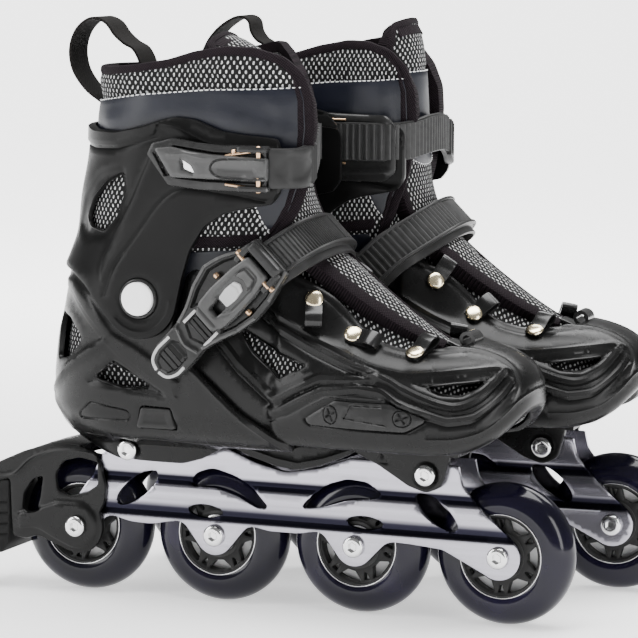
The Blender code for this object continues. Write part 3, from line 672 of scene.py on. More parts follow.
COPPER = brushed("pin_copper", (0.52, 0.34, 0.20), (0.68, 0.46, 0.30), 0.28, stretch=(90.0, 90.0, 90.0))
# The near-black stops at the heights of the frame's two grooves are painted shade.
ALLOY = brushed("frame_alloy", (0.34, 0.33, 0.37), (0.42, 0.41, 0.46), 0.24, groove_shade=(
    (0.445, 1.0), (0.462, (0.02, 0.02, 0.03)), (0.515, (0.05, 0.05, 0.07)), (0.545, 0.92), (0.625, 1.0),
    (0.645, (0.03, 0.03, 0.045)), (0.690, (0.02, 0.02, 0.03)), (0.705, 1.0)))


def tyre_material():
    """Smoky polyurethane: near black with a violet cast, glossy."""
    paint = Paint("tyre_urethane", 0.14, specular=0.22, coat=0.12, coat_roughness=0.04)
    cloud = paint.noise(22.0, 2.0)
    paint.colour(paint.ramp(cloud, (0.30, (0.002, 0.002, 0.005)), (0.60, (0.005, 0.004, 0.012)),
                            (0.85, (0.014, 0.010, 0.034))))
    paint.set("Roughness", paint.math("ADD", paint.math("MULTIPLY", paint.noise(140.0, 3.0), 0.14), 0.08))
    paint.bump(paint.noise(160.0, 2.0), 0.03, 0.0006)
    return paint.material


TYRE = tyre_material()


# ------------------------------------------------------------------------------------ rolling gear
def tyre():
    """The tyre's round crown, with a step at the hub's rim."""
    depth = 15.5
    crown = [(WHEEL_HALF * math.cos(a), WHEEL_RADIUS - depth + depth * math.sin(a) ** 0.86)
             for a in np.radians(np.linspace(14.0, 166.0, 23))]
    inner = [(-11.4, 23.4), (-10.7, HUB_RADIUS + 0.2), (10.7, HUB_RADIUS + 0.2), (11.4, 23.4)]
    return turned(crown + inner, 96, closed=True)


def hub():
    """Two spoked faces on a rim and a core."""
    def window(middle, spread, outer, depth):
        start = [(outer * math.cos(a), outer * math.sin(a))
                 for a in np.radians(np.linspace(middle - spread, middle + spread, 11))]
        low = [(depth * math.cos(a), depth * math.sin(a))
               for a in np.radians(np.linspace(middle + spread * 0.42, middle - spread * 0.42, 7))]
        return rounded(start + low, 1.0)

    holes = [ring(0.0, 0.0, BEARING_RADIUS + 0.1, 48)]
    for k in range(6):
        holes.append(window(60.0 * k + 8.0, 20.0, 20.0, 14.4))
        holes.append(window(60.0 * k + 38.0, 4.8, 19.4, 15.2))
    rings = [Ridge(ring(0.0, 0.0, 12.4, 48), 0.7, 0.5, closed=True),
             Ridge(ring(0.0, 0.0, 20.9, 60), 0.6, 0.45, closed=True)]
    face = panel(ring(0.0, 0.0, HUB_RADIUS - 0.4, 72), side_plane(-9.6), 4.6, holes, rings, spacing=1.5,
                 edge=0.45)
    rim = turned([(-10.6, HUB_RADIUS), (-10.6, 21.2), (-9.4, 20.6), (9.4, 20.6), (10.6, 21.2),
                  (10.6, HUB_RADIUS)], 72, closed=True)
    core = turned([(-10.2, 12.8), (-10.2, BEARING_RADIUS + 0.1), (10.2, BEARING_RADIUS + 0.1),
                   (10.2, 12.8)], 48, closed=True)
    return joined(face, face.mirrored(), rim, core)


def web():
    """The hub's middle disc, seen through the windows. Its near-white colour is painted light, standing in
    for the bright backdrop seen through the hub.
    """
    return turned([(-3, 12.9), (-2.2, 14), (-2.2, 20.5), (2.2, 20.5), (2.2, 14), (3, 12.9)], 60, closed=True)


def rim_ring():
    """The bright line where the tyre meets the hub."""
    path = [(11.0 + 0.32 * math.cos(a), HUB_RADIUS + 0.35 + 0.32 * math.sin(a))
            for a in np.linspace(0.0, 5.5, 8)]
    outer = turned(path, 90, closed=True)
    return joined(outer, outer.mirrored())


def bearings():
    """Two shielded ball bearings and the spacer between them."""
    half = [(-10.6, 10.9), (-11, 10.5), (-11, 9.2), (-10.5, 8.9), (-10.4, 6.6), (-10.9, 6.3), (-11, 4.3),
            (-4.2, 4.3), (-4.2, 10.9)]
    one = turned(half, 48, closed=True)
    spacer = turned([(-4, 5.4), (-4, 4.3), (4, 4.3), (4, 5.4)], 32, closed=True)
    return joined(one, one.mirrored(), spacer)


def hex_head(seat, radius, height):
    """A button head that faces -Y, with a hexagonal socket."""
    steps, key = 48, 2.3
    turn = circle_turns(steps)
    hexagon = key / np.cos((turn + math.pi / 6.0) % (math.pi / 3.0) - math.pi / 6.0)
    dome = [(0, 1), (0.45, 1), (0.72, 0.95), (0.92, 0.82), (1, 0.66)]
    rows = [(-height * share, np.full(steps, radius * size)) for share, size in dome]
    rows += [(-height, hexagon * 1.14), (-height * 0.9, hexagon), (-height * 0.25, hexagon * 0.98)]
    points = [np.column_stack([r * np.cos(turn), np.full(steps, seat + y), r * np.sin(turn)]) for y,
              r in rows]
    faces = []
    for row in range(len(rows) - 1):
        for k in range(steps):
            a, b = row * steps + k, row * steps + (k + 1) % steps
            faces.append((a, a + steps, b + steps, b))
    faces.append(tuple(range(steps)))
    faces.append(tuple(range((len(rows) - 1) * steps, len(rows) * steps))[::-1])
    return Shape(np.vstack(points), faces)


def bolt(x, z, seat, radius, height, shank):
    """A bolt through the skate with a socket head on each side."""
    head = hex_head(-seat, radius, height).moved(shift=(x, 0.0, z))
    rod = turned([(-seat - 0.2, shank), (seat + 0.2, shank)], 24, (x, z))
    rod.faces += [tuple(range(0, 48, 2)), tuple(range(1, 48, 2))[::-1]]
    return joined(head, head.mirrored(), rod)


def rolling_gear():
    """Wheels, bearings and axles. The four wheels share their shapes."""
    parts = [("tyre", tyre(), TYRE, "urethane", ()), ("hub", hub(), HUB, "trim_plastic", ("wheel",)),
             ("hub_web_painted_light", web(), WEB_PAINTED_LIGHT, "trim_plastic", ()), ("rim_ring", rim_ring(), RACE, "bearing_steel", ()),
             ("bearing_pair", bearings(), RACE, "bearing_steel", ("bearings",))]
    for i, x in enumerate(AXLES, 1):
        turn = math.radians(WHEEL_TURN * i)
        spin = [[math.cos(turn), 0.0, math.sin(turn)], [0.0, 1.0, 0.0],
                [-math.sin(turn), 0.0, math.cos(turn)]]
        for name, shape, material, slot, nodes in parts:
            build(f"{name}_{i}", shape.moved(spin, (x, 0.0, WHEEL_RADIUS)), material, f"roller_{i}", slot,
                  [f"{node}_{i}" for node in nodes], crease=50.0)
        for side in SIDES:
            seat = CHEEK_OUTER + 0.1 if i == 1 and side == "right" else FRAME_OUTER + 0.1
            build(f"axle_bolt_{i}", bolt(x, WHEEL_RADIUS, seat, 5.9, 3.0, 3.8), STEEL, "boot", "bolt_steel",
                  [f"axle_{i}"], sides=(side,))
    build("rear_bolt_pair", bolt(*BOLT_REAR, 22.6, 5.6, 2.4, 3.0), STEEL, "boot", "bolt_steel", ["rear_bolt"])
    build("front_bolt_pair", bolt(*BOLT_FRONT, 19.8, 5.8, 2.8, 3.0), STEEL, "boot", "bolt_steel",
          ["front_bolt"])


# ----------------------------------------------------------------------------------------- frame
def frame_outline():
    """The frame's side wall."""
    foot = 11.0
    line = arc(0.0, WHEEL_RADIUS, foot, 165.0, 300.0, 10)
    line += [(17, 45.5, 8), (31, 42, 25), (43, 41.5, 25), (62, 45, 8)]
    line += arc(AXLE_PITCH, WHEEL_RADIUS, foot, 220.0, 320.0, 8)
    line += [(101, 45, 8), (113, 42.5, 25), (130, 42.5, 25), (143, 45, 8)]
    line += arc(AXLE_PITCH * 2.0, WHEEL_RADIUS, foot, 220.0, 320.0, 8)
    line += [(181, 42, 10), (194, 41.5, 20), (212, 40, 12)]
    line += arc(FRONT_AXLE, WHEEL_RADIUS, foot + 1.2, 232.0, 400.0, 12)
    line += [(230, 66, 10), (222.5, 75, 10), (220.5, 84, 2), (220.5, 85, 1), (160, 85.2, 4), (143, 79, 14),
             (123, 75.2, 18), (105, 79.5, 14), (88, 86.4, 1.5), (64, 80, 30), (46, 84, 4), (22, 84, 4),
             (14, 79, 6), (9, 68, 10)]
    return rounded(line, 2.0)


def leaf(cx, cz, long, short, tilt):
    """A slanted oval with slightly pointed ends."""
    turn = circle_turns(36)
    u, v = long * np.cos(turn), short * np.sin(turn) * (0.9 + 0.1 * np.sin(turn) ** 2)
    tilt = math.radians(tilt)
    return list(zip(cx + u * math.cos(tilt) - v * math.sin(tilt),
                    cz + u * math.sin(tilt) + v * math.cos(tilt)))


def frame_holes():
    """The lightening holes, from the rear."""
    first = [(66, 64, 4), (70, 71.5, 8), (80, 75, 12), (93, 71.5, 14), (105, 64, 12), (113.5, 55, 3.5),
             (107, 54.5, 6), (95, 60.5, 14), (80, 64.5, 14)]
    second = [(130.5, 56, 3), (138, 64, 10), (147, 70.5, 12), (158, 74, 12), (170, 73, 8), (178.5, 66, 3),
              (170, 64, 8), (158, 62.5, 14), (144, 58, 12)]
    return [leaf(35.0, 61.0, 15.2, 5.6, 38.0), leaf(75.5, 51.0, 10.2, 3.6, -2.0),
            leaf(168.0, 51.2, 10.4, 3.6, -2.0), leaf(208.5, 59.5, 14.4, 5.8, -36.0), rounded(first, 2.0),
            rounded(second, 2.0)]


def frame_profile(flat):
    """The rolled section of the wall: two grooves and a crown between them."""
    z = flat[:, 1]
    crown = 0.5 * ease(1.0 - np.abs(z - 58.0) / 7.0)
    lower = -0.9 * ease(1.0 - np.abs(z - 49.2) / 4.4)
    upper = -0.9 * ease(1.0 - np.abs(z - 67.0) / 4.2)
    return crown + lower + upper


def frame_parts():
    """Both side walls of the frame and the webs between them."""
    lines = [Ridge([(-10, z), (262, z)], 0.5, 0.0) for z in (45.2, 49.2, 53.4, 63, 67, 71)]
    lip = Ridge([(12, 45.6), (236, 45.6)], 0.7, 0.35)
    outer = panel(frame_outline(), side_plane(-FRAME_OUTER + 0.1), 2.4, frame_holes(), lines + [lip],
                  spacing=2.4, edge=0.5, bulge=frame_profile)
    webs = []
    for x0, x1, z in ((44.0, 84.0, 80.0), (15.0, 26.0, 78.3), (164.0, 197.0, 80.5)):
        path = [(x, 0, z + 0.6 * math.sin(math.pi * (x - x0) / (x1 - x0))) for x in np.linspace(x0, x1, 12)]
        webs.append(band(path, lambda i: ((0.0, 1.0, 0.0), (0.0, 0.0, 1.0)),
                         rounded_strip(FRAME_INNER + 0.2, -1.2, 1.2)))
    return joined(outer, outer.mirrored(), *webs)


# ----------------------------------------------------------------------------------------- brake
def brake_cheek():
    """One side of the brake housing, with its openings and the raised boss on the axle."""
    outline = arc(0.0, WHEEL_RADIUS, 15.4, 262.0, 390.0, 12)
    outline += [(16.5, 52, 6), (17.5, 60, 8), (14.5, 72, 6), (11, 79.5, 3), (2, 82.4, 10), (-14, 83.2, 20),
                (-32, 77.6, 20), (-48, 70.4, 20), (-60.5, 63.2, 1), (-60.5, 58, 1), (-41, 61.5, 1.5),
                (-40.2, 42, 8), (-39.2, 29.5, 2), (-31, 28.5, 3), (-24, 31, 8), (-14, 27, 10)]
    main = rounded([(12.5, 74, 1.5), (2, 76, 8), (-8, 73.5, 6), (-13, 66, 5), (-12, 57, 4), (-4, 54.6, 6),
                    (6, 57, 6), (12.8, 61.5, 3)], 2.0)
    rear = rounded([(-20.5, 64.5, 1.2), (-27, 62, 5), (-32.5, 54, 6), (-33.5, 45, 2.4), (-29, 43.6, 2),
                    (-23.4, 45, 1.2)], 2.0)
    drop = arc(0.0, WHEEL_RADIUS, 13.2, 250.0, 450.0, 16)
    drop += [(-12, 51, 14), (-24, 46.5, 14), (-37, 43, 3), (-36.5, 33, 3), (-25, 35, 12), (-14, 29.5, 12)]
    arch = [(13, 78.4), (0, 79.6), (-13, 78.6), (-27, 73.2), (-38, 64), (-50, 62.8)]
    relief = [Plate(rounded(drop, 2.0), 1.6, 1.1), Ridge(smooth_line(arch, 2.0)[:, :2], 1.4, 0.8)]
    cheek = panel(rounded(outline, 2.0), side_plane(-CHEEK_OUTER + 1.2), 2.6,
                  [main, rear, ring(0.0, WHEEL_RADIUS, 4.1, 24)], relief, spacing=1.8, edge=0.7)
    return cheek


def brake_arm():
    """The brake housing: two cheeks and the roof over the wheel."""
    cheek = brake_cheek()
    path = smooth_line([(2, 0, 80.6), (-14, 0, 81.2), (-32, 0, 75.6), (-48, 0, 68.6), (-60.3, 0, 62)], 3.0)

    def across(i):
        ahead = path[min(i + 1, len(path) - 1)] - path[max(i - 1, 0)]
        ahead /= np.linalg.norm(ahead)
        return (0.0, 1.0, 0.0), (ahead[2], 0.0, -ahead[0])

    roof = band(path, across, rounded_strip(CHEEK_INNER + 1.6, -2.2, 1.6, 1.2))
    return joined(cheek, cheek.mirrored(), roof)


def brake_pad():
    """The rubber block, with worn corners and wide grooves across its flanks."""
    outline = rounded([(-60.4, 57.4, 1), (-41.4, 60.8, 1.5), (-41, 42, 8), (-41.6, 25, 3), (-46, 19.4, 3),
                       (-60.4, 19.2, 1)], 1.5)
    grooves = [Ridge([(-66, z), (-38, z + 2.5)], 1.2, -0.9) for z in (28, 34, 40, 46)]
    flank = panel(outline, side_plane(-CHEEK_OUTER + 0.2), CHEEK_OUTER - 0.2, [], grooves, spacing=2.0,
                  edge=1.2)
    return joined(flank, flank.mirrored())


rolling_gear()
build("frame_walls", frame_parts(), ALLOY, "boot", "frame_alloy", ["frame"])
build("brake_housing", brake_arm(), SHELL, "boot", "shell_plastic", ["brake_arm"], sides=("right",))
build("brake_block", brake_pad(), RUBBER, "boot", "brake_rubber", ["brake_pad"], sides=("right",))


# --------------------------------------------------------------------------- the boot's surfaces
# Stations of the heel shell: height, rearmost x, half width at the ankle, half width at x = 130.
HEEL = Table([(75, 5, 21, 21), (86, -4.5, 22.5, 24), (91, -8.8, 31, 37), (97, -13.3, 36, 43.5),
              (108, -17.6, 39, 47), (120, -17.6, 40, 46.5), (134, -16.2, 41.5, 45), (146, -14.4, 42.5, 43),
              (156, -11.8, 43.2, 41.5), (175, -8, 43.6, 40), (194, -4, 43.4, 39)])
HEEL_ROUND, HEEL_TURN, HEEL_FRONT = 48.0, 66.0, 130.0
# Stations of the cuff: height, rearmost x, half width.
CUFF_SHAPE = Table([(146, -16.5, 47.3), (162, -15.5, 47.3), (178, -12, 47.3), (188, -7.6, 47.3),
                    (203, -2.2, 47.4), (220, -0.2, 47.8), (247, 4.8, 48.6), (262, 5.6, 49),
                    (275, 7.6, 49.4)])
CUFF_ROUND, CUFF_TURN = 52.0, 76.0
# Stations of the toe shell: x, half width, top.
TOE = Table([(30, 38, 190), (60, 39.5, 190), (100, 42, 186), (130, 45.5, 173), (150, 48.5, 164),
             (175, 51.5, 156.5), (200, 52.2, 152)])
TOE_CENTRE, TOE_REACH, TOE_TURN, TOE_FLOOR, TOE_POWER = 200.0, 60.3, 88.0, 94.3, 0.9
TOE_RISE = Table([(200, 0), (225, 0.3), (240, 2.5), (250, 7), (257, 14), (261, 20)])
# The toe shell's section: length up the wall, share of its height, share of its half width at the
# toes, and the same at the ankle, where the wall stands upright.
TOE_SECTION = Table([(0, 0, 0.87, 0.87), (4.5, 0.065, 0.95, 0.95), (13, 0.21, 1, 1), (26, 0.44, 0.985, 1),
                     (38, 0.64, 0.905, 0.99), (51, 0.82, 0.73, 0.97), (66, 0.94, 0.45, 0.93),
                     (90, 1, 0, 0.7)])
UPRIGHT_FROM, UPRIGHT_TO = 165.0, 105.0
# The flaps beside the instep, which stand up above the section's shoulder.
FLAP_FROM, FLAP_RISE, FLAP_SPREAD = 48.0, 15.0, 0.24


def heel_surface(flat):
    """The heel shell. u runs from the back's middle line, positive on the outer side, and z is the height."""
    u, z = flat[:, 0], flat[:, 1]
    back, ankle, front = HEEL(z, 0), HEEL(z, 1), HEEL(z, 2)
    turn = np.minimum(np.abs(u) / HEEL_TURN, 1.0) * math.pi / 2.0
    run = np.maximum(np.abs(u) - HEEL_TURN, 0.0)
    x = back + HEEL_ROUND * (1.0 - np.cos(turn)) + run
    y = ankle * np.sin(turn) + (front - ankle) * ease(run / (HEEL_FRONT - back - HEEL_ROUND))
    return np.column_stack([x, -np.sign(u) * y, z])


def cuff_surface(flat):
    """The cuff, laid out like the heel shell."""
    u, z = flat[:, 0], flat[:, 1]
    back, half = CUFF_SHAPE(z, 0), CUFF_SHAPE(z, 1)
    turn = np.minimum(np.abs(u) / CUFF_TURN, 1.0) * math.pi / 2.0
    run = np.maximum(np.abs(u) - CUFF_TURN, 0.0)
    x = back + CUFF_ROUND * (1.0 - np.cos(turn)) + run
    tuck = 3.4 * ease((x - 98.0) / 34.0)
    return np.column_stack([x, -np.sign(u) * (half * np.sin(turn) - tuck), z])


def toe_surface(flat):
    """The toe shell. t runs along its plan outline, negative on the outer side, and s runs up the wall."""
    t, s = flat[:, 0], flat[:, 1]
    run = np.maximum(np.abs(t) - TOE_TURN, 0.0)
    turn = np.clip((t + TOE_TURN) / (2.0 * TOE_TURN), 0.0, 1.0) * math.pi
    ahead = np.abs(np.sin(turn)) ** TOE_POWER
    aside = -np.sign(np.cos(turn)) * np.abs(np.cos(turn)) ** TOE_POWER
    half, top = TOE(TOE_CENTRE - run, 0), TOE(TOE_CENTRE - run, 1)
    height = TOE_SECTION(s, 0)
    upright = ease((UPRIGHT_FROM - TOE_CENTRE + run) / (UPRIGHT_FROM - UPRIGHT_TO))
    width = TOE_SECTION(s, 1) + (TOE_SECTION(s, 2) - TOE_SECTION(s, 1)) * upright
    low = TOE_FLOOR + TOE_RISE(TOE_CENTRE + TOE_REACH * ahead)
    flap = ease((s - FLAP_FROM) / 36.0) * ease((186.0 - TOE_CENTRE + run) / 34.0)
    width = width + FLAP_SPREAD * flap * (1.0 - upright)
    x, z = TOE_CENTRE - run + TOE_REACH * ahead * width, low + (top - low) * height + FLAP_RISE * flap
    limit = heel_half(x, z) - WALL - 1.2 + 30.0 * ease((x - 122.0) / 30.0)
    reach = half * np.abs(aside) * width
    reach = 0.5 * (reach + limit - np.sqrt((reach - limit) ** 2 + 1.0))
    return np.column_stack([x, np.sign(aside) * np.maximum(reach, 0.0), z])


def heel_half(x, z):
    """The heel shell's half width at a place."""
    back, ankle, front = HEEL(z, 0), HEEL(z, 1), HEEL(z, 2)
    share = np.clip((back + HEEL_ROUND - x) / HEEL_ROUND, 0.0, 1.0)
    flare = ease((x - back - HEEL_ROUND) / (HEEL_FRONT - back - HEEL_ROUND))
    return ankle * np.sqrt(1.0 - share**2) + (front - ankle) * flare


def wrapped(points, table, length, turn_length, side=1.0, step=3.0, closed=False):
    """Side-view points (x, z) as (u, z) on the heel shell, the cuff or the liner. side is one of FLANKS."""
    line = resampled(points, step, closed)
    back = table(line[:, 1])
    ahead = line[:, 0] - back
    turn = np.arccos(np.clip(1.0 - ahead / length, -1.0, 1.0)) / (math.pi / 2.0) * turn_length
    u = np.where(ahead < length, turn, turn_length + ahead - length)
    return np.column_stack([side * u, line[:, 1]])


def on_heel(points, side=1.0, step=3.0, closed=False):
    """A side-view line on the heel shell."""
    return wrapped(points, HEEL, HEEL_ROUND, HEEL_TURN, side, step, closed)


def on_cuff(points, side=1.0, step=3.0, closed=False):
    """A side-view line on the cuff."""
    return wrapped(points, CUFF_SHAPE, CUFF_ROUND, CUFF_TURN, side, step, closed)


def around_back(maker, points):
    """A closed outline from a side-view line that starts at the back's middle and ends there again."""
    outer = maker(points, 1.0)
    outer = outer[outer[:, 0] > 1.0]
    return np.vstack([outer, outer[::-1] * [-1.0, 1.0]])


# ---------------------------------------------------------------------------------- heel shell
def heel_shell():
    """The rear shell: a wall around the heel with windows, a diagonal band and a sunken field."""
    line = rounded([(-5.8, 87.8), (4, 84.5, 20), (15, 80, 14), (26, 77, 12), (65, 77, 14), (77, 80.6, 14),
                    (92, 88.2, 12), (118, 88.6, 8), (136, 89, 2), (134.5, 94, 2), (126, 99, 6),
                    (106, 112, 30), (92, 123.5, 30), (78, 135, 24), (67, 148, 10), (71, 165, 10),
                    (66, 182, 8), (51, 189, 8), (30, 189, 6), (-5, 189)], 4.0, closed=False)
    outline = around_back(on_heel, line)
    rear_window = [(-7, 157.5, 2), (3, 155, 6), (14, 145, 3), (4, 134.5, 6), (-8, 131, 2)]
    side_window = [(20, 124, 2), (33, 132.5, 3), (57, 120.8, 1.5), (38, 119.6, 8)]
    sunken = [(13, 120.6, 2), (33, 136, 3), (69, 115, 1.5)]
    pocket = [(9.5, 103, 2), (17.4, 110.4, 2), (40.4, 107, 2), (42, 104, 1), (40, 101.6, 1.5),
              (10, 100.8, 1.5)]
    low_edge = [(-14.5, 176), (5, 168), (28, 146), (37, 137), (53, 126), (70, 116.5)]
    high_edge = [(6, 177), (20, 168), (35, 149.5), (48, 143), (58, 137), (74, 125)]
    crease = [(-16, 112.5), (-12, 115.5), (0, 127), (13, 135.5), (28, 144.5)]
    shoulder = [(-16, 111), (-10, 105.5), (-4.5, 100), (4, 93)]
    seam = [(134, 93.5), (125, 99.8), (106, 112.8), (92, 124.5), (79, 136), (68.5, 148.5)]
    lip = [(x - 2.2, z - 2.0) for x, z in seam]
    features, holes = [], []
    for side in FLANKS:
        band = on_heel([*low_edge, *high_edge[::-1]], side, closed=True)
        features += [
            Plate(band, 2.0, 0.9),
            Ridge(on_heel(low_edge, side), 1.6, 0.5),
            Ridge(on_heel(crease, side), 3.5, 1.1),
            Ridge(on_heel(shoulder, side), 3.5, 0.7),
            Plate(on_heel(rounded(sunken, 2.0), side, closed=True), 2.2, -1.5),
            Plate(on_heel(rounded(pocket, 2.0), side, 1.5, closed=True), 0.8, -0.45),
            Ridge(on_heel(rounded(pocket, 2.0), side, 1.5, closed=True), 0.7, -0.8, closed=True),
            Ridge(on_heel(lip, side), 1.8, 0.6),
        ]
        holes += [on_heel(rounded(rear_window, 2.0), side, 1.5, closed=True),
                  on_heel(rounded(side_window, 2.0), side, 1.5, closed=True),
                  on_heel(ring(*BOLT_REAR, 6.4, 28), side, 1.2, closed=True)]
    holes.append(on_heel(rounded(button_outline(0.7), 1.2), 1.0, 1.2, closed=True))

    def depth(flat):
        return WALL + 4.5 * ease((92.0 - flat[:, 1]) / 8.0)

    return panel(outline, heel_surface, WALL, holes, features, spacing=2.5, edge=1.0, back=depth)


def button_outline(grow):
    """The push button, seen from the side."""
    return [(46.5 - grow, 98.7 - grow), (69.5 + grow, 98.7 - grow), (66.3 + grow, 109.6 + grow),
            (49.3 - grow, 109.6 + grow)]


def push_button():
    """The size release: a tapered key with a shallow dished face."""
    dish = rounded([(50, 101), (66, 101), (64, 107.6), (52, 107.6)], 1.5)
    return panel(rounded(button_outline(0.0), 1.3), side_plane(-41.3), 4.6, [], [Plate(dish, 1.4, -0.35)],
                 spacing=1.3, edge=0.9)


def sole():
    """The chassis under the foot: a floor, a belly over the frame and the lugs of the front bolt."""
    stations = (-8.0, -4.0, 2.0, 10.0, 20.0, 36.0, 60.0, 90.0, 118.0, 134.0)
    edge_line = [(x, -heel_half(np.array([x]), np.array([92.5]))[0] + 1.5) for x in stations]
    loop = edge_line + [(x, -y) for x, y in reversed(edge_line)]
    floor_plate = panel(loop, lambda flat: np.column_stack([flat, np.full(len(flat), 94.2)]), 3.2,
                        spacing=6.0, edge=0.4)
    bar = [(132, 90, 1), (222, 90, 1), (222, 94, 1), (132, 94, 1)]
    belly = [(78, 93.6, 1), (80, 87.8, 2), (90, 88.8, 3), (104, 83, 16), (118, 78.9, 16), (131, 77.3, 12),
             (144, 80.6, 16), (160, 87.2, 6), (168, 93.6, 1)]
    tab = [(160, 93.8, 1), (163, 90, 4), (177, 83.5, 14), (194, 73.4, 8), (204, 70.2, 9), (213, 74, 8),
           (217, 90, 4), (217.5, 93.8, 1)]
    mark = [(175, 85, 0.3), (183, 85, 0.3), (179, 90, 0.3)]
    seat = ring(*BOLT_FRONT, 7.4, 32)
    lug = panel(rounded(tab, 2.0), side_plane(-LUG_OUTER), 4.0, [ring(*BOLT_FRONT, 3.3, 20)],
                [Ridge(rounded(mark, 0.3), 0.45, -0.3, closed=True), Plate(seat, 0.7, -0.5)], spacing=2.0,
                edge=1.0)
    flank = panel(rounded(belly, 2.0), side_plane(-SOLE_OUTER), 3.2, [],
                  [Ridge([(92, 90.5), (118, 83.5), (131, 81.5), (146, 85), (164, 91.5)], 1.3, 0.6)],
                  spacing=2.4, edge=1.2)
    rail = panel(rounded(bar, 1.0), side_plane(-SOLE_OUTER), 2.0 * SOLE_OUTER, spacing=4.0, edge=0.6)
    heel_block = panel(rounded([(27, 89), (27, 77.6), (64, 77.6), (76, 81.2), (90, 88.6)], 1.0),
                       side_plane(-20.0), 4.2, [ring(*BOLT_REAR, 3.3, 20)], spacing=3.0, edge=0.4)
    return joined(floor_plate, rail, lug, lug.mirrored(), flank, flank.mirrored(), heel_block,
                  heel_block.mirrored())


# ------------------------------------------------------------------------------------ toe shell
def toe_outline():
    """The toe shell's wall in (t, s), from the outer rear edge round the tip to the inner one."""
    low = [(-214, 0, 2), (0, 0)]
    high = [(0, 69), (-20, 68, 10), (-40, 67, 10), (-64, 65, 10), (-80, 63, 10), (-96, 61, 10),
            (-110, 64, 10), (-126, 72, 10), (-142, 79, 10), (-158, 81, 8), (-174, 78, 8), (-188, 72, 8),
            (-202, 66, 8), (-214, 58, 6), (-218, 42, 6), (-238, 36, 4), (-238, 14, 4), (-214, 12, 3)]
    half = rounded([*high, low[0], low[1]], 3.0, closed=False)
    outer = resampled(half, 2.2, closed=False)[1:-1]
    return np.vstack([outer, outer[::-1] * [-1.0, 1.0]])


def mirrored_features(makers):
    """Features of the outer side and the same ones, mirrored in t, on the inner side."""
    result = []
    for kind, line, *rest in makers:
        line = np.array([p[:2] for p in line], float)
        result += [kind(line, *rest), kind(line * [-1.0, 1.0], *rest)]
    return result


def toe_shell():
    """The front shell with its ribs, mesh windows and the recess for the wear plate."""
    upper = smooth_line([(-190, 60), (-175, 57), (-158, 54), (-141, 51), (-123, 48.5), (-106, 45),
                         (-88, 44), (-70, 45.5), (-50, 46.5), (-30, 45), (-21, 41.5)])
    main = smooth_line([(-190, 56), (-165, 50), (-148, 47), (-131, 44.5), (-117, 42.5), (-105, 41),
                        (-93, 38), (-80, 32), (-68, 28), (-60, 27), (-48, 30), (-36, 36), (-25, 41)])
    vee = rounded([(-200, 38), (-183, 27.5, 20), (-160, 18.5, 5), (-133, 33, 12), (-117, 36, 16),
                   (-103, 39)], 5.0, closed=False)
    vee_groove = [(a, b - 3.4) for a, b in vee]
    low_groove = rounded([(-163, 13.5), (-153, 17, 8), (-131, 28.5, 10), (-112, 33, 10), (-98, 33, 10),
                          (-84, 26, 10), (-66, 20.5, 10), (-52, 21, 10), (-34, 29, 8), (-24, 34)], 8.0,
                         closed=False)
    middle_groove = smooth_line([(-186, 52.5), (-165, 46.5), (-148, 43.8), (-131, 41.5), (-117, 39.6),
                                 (-108, 38.8)])
    side_recess = rounded([(-190, 44, 2), (-176, 41.5, 20), (-160, 39.5, 20), (-139, 38, 2), (-145, 33, 3),
                           (-157.5, 24.5, 3), (-177, 31.5, 6)], 2.0)
    toe_recess = rounded([(-86, 39.5, 1), (-60, 41.5, 12), (-31, 41.8, 1), (-45, 35, 6), (-57, 31, 5),
                          (-70, 32, 6)], 2.0)
    plate_recess = rounded([(-143.5, 14.6, 2), (-125, 26.3, 4), (-92, 29.3, 4), (-72.5, 20.6, 2),
                            (-84, 12.6, 4), (-139, 10.8, 3)], 3.0)
    fold = smooth_line([(-60, 66), (-42, 63), (-26, 58), (-19, 50), (-17, 42), (-19, 33), (-26, 24)])
    parting = smooth_line([(-75, 10.5), (-58, 11), (-45, 13), (-31, 18), (-22, 21), (-8, 21.5), (0, 21)])
    rim = smooth_line([(-158, 75), (-142, 73), (-126, 66), (-110, 58.5), (-96, 56), (-80, 57), (-64, 59),
                       (-44, 60)])
    features = mirrored_features([
        (Ridge, upper, 2, 0.9), (Ridge, main, 2.5, 1.7, False, 0.35), (Ridge, vee, 2.6, 1.6, False, 0.4),
        (Ridge, vee_groove, 1, -0.5), (Ridge, low_groove, 2.4, 1.4, False, 0.4),
        (Ridge, [(a, b - 3.2) for a, b in low_groove], 1, -0.5), (Ridge, middle_groove, 1.4, -0.7),
        (Plate, side_recess, 2.4, -1.5), (Plate, toe_recess, 2.2, -1.5), (Plate, plate_recess, 1.2, -0.9),
        (Ridge, fold, 2.6, 0.8), (Ridge, parting, 0.9, 0.4), (Ridge, rim, 2.2, -0.5),
    ])
    side_window = rounded([(-184, 40, 1.5), (-160, 36.6, 20), (-142, 36, 1.5), (-147, 33, 3),
                           (-157.5, 27, 2.5), (-175, 33, 5)], 2.0)
    toe_window = rounded([(-77, 38, 1), (-60, 39.6, 12), (-40, 39.8, 1), (-48, 35.8, 4), (-57.5, 33.2, 4),
                          (-67, 34.2, 4)], 2.0)
    holes = []
    for loop in (side_window, toe_window):
        loop = np.array([p[:2] for p in loop])
        holes += [loop, loop[::-1] * [-1.0, 1.0]]
    return panel(toe_outline(), toe_surface, 2.6, holes, features, spacing=2.2, edge=0.9)


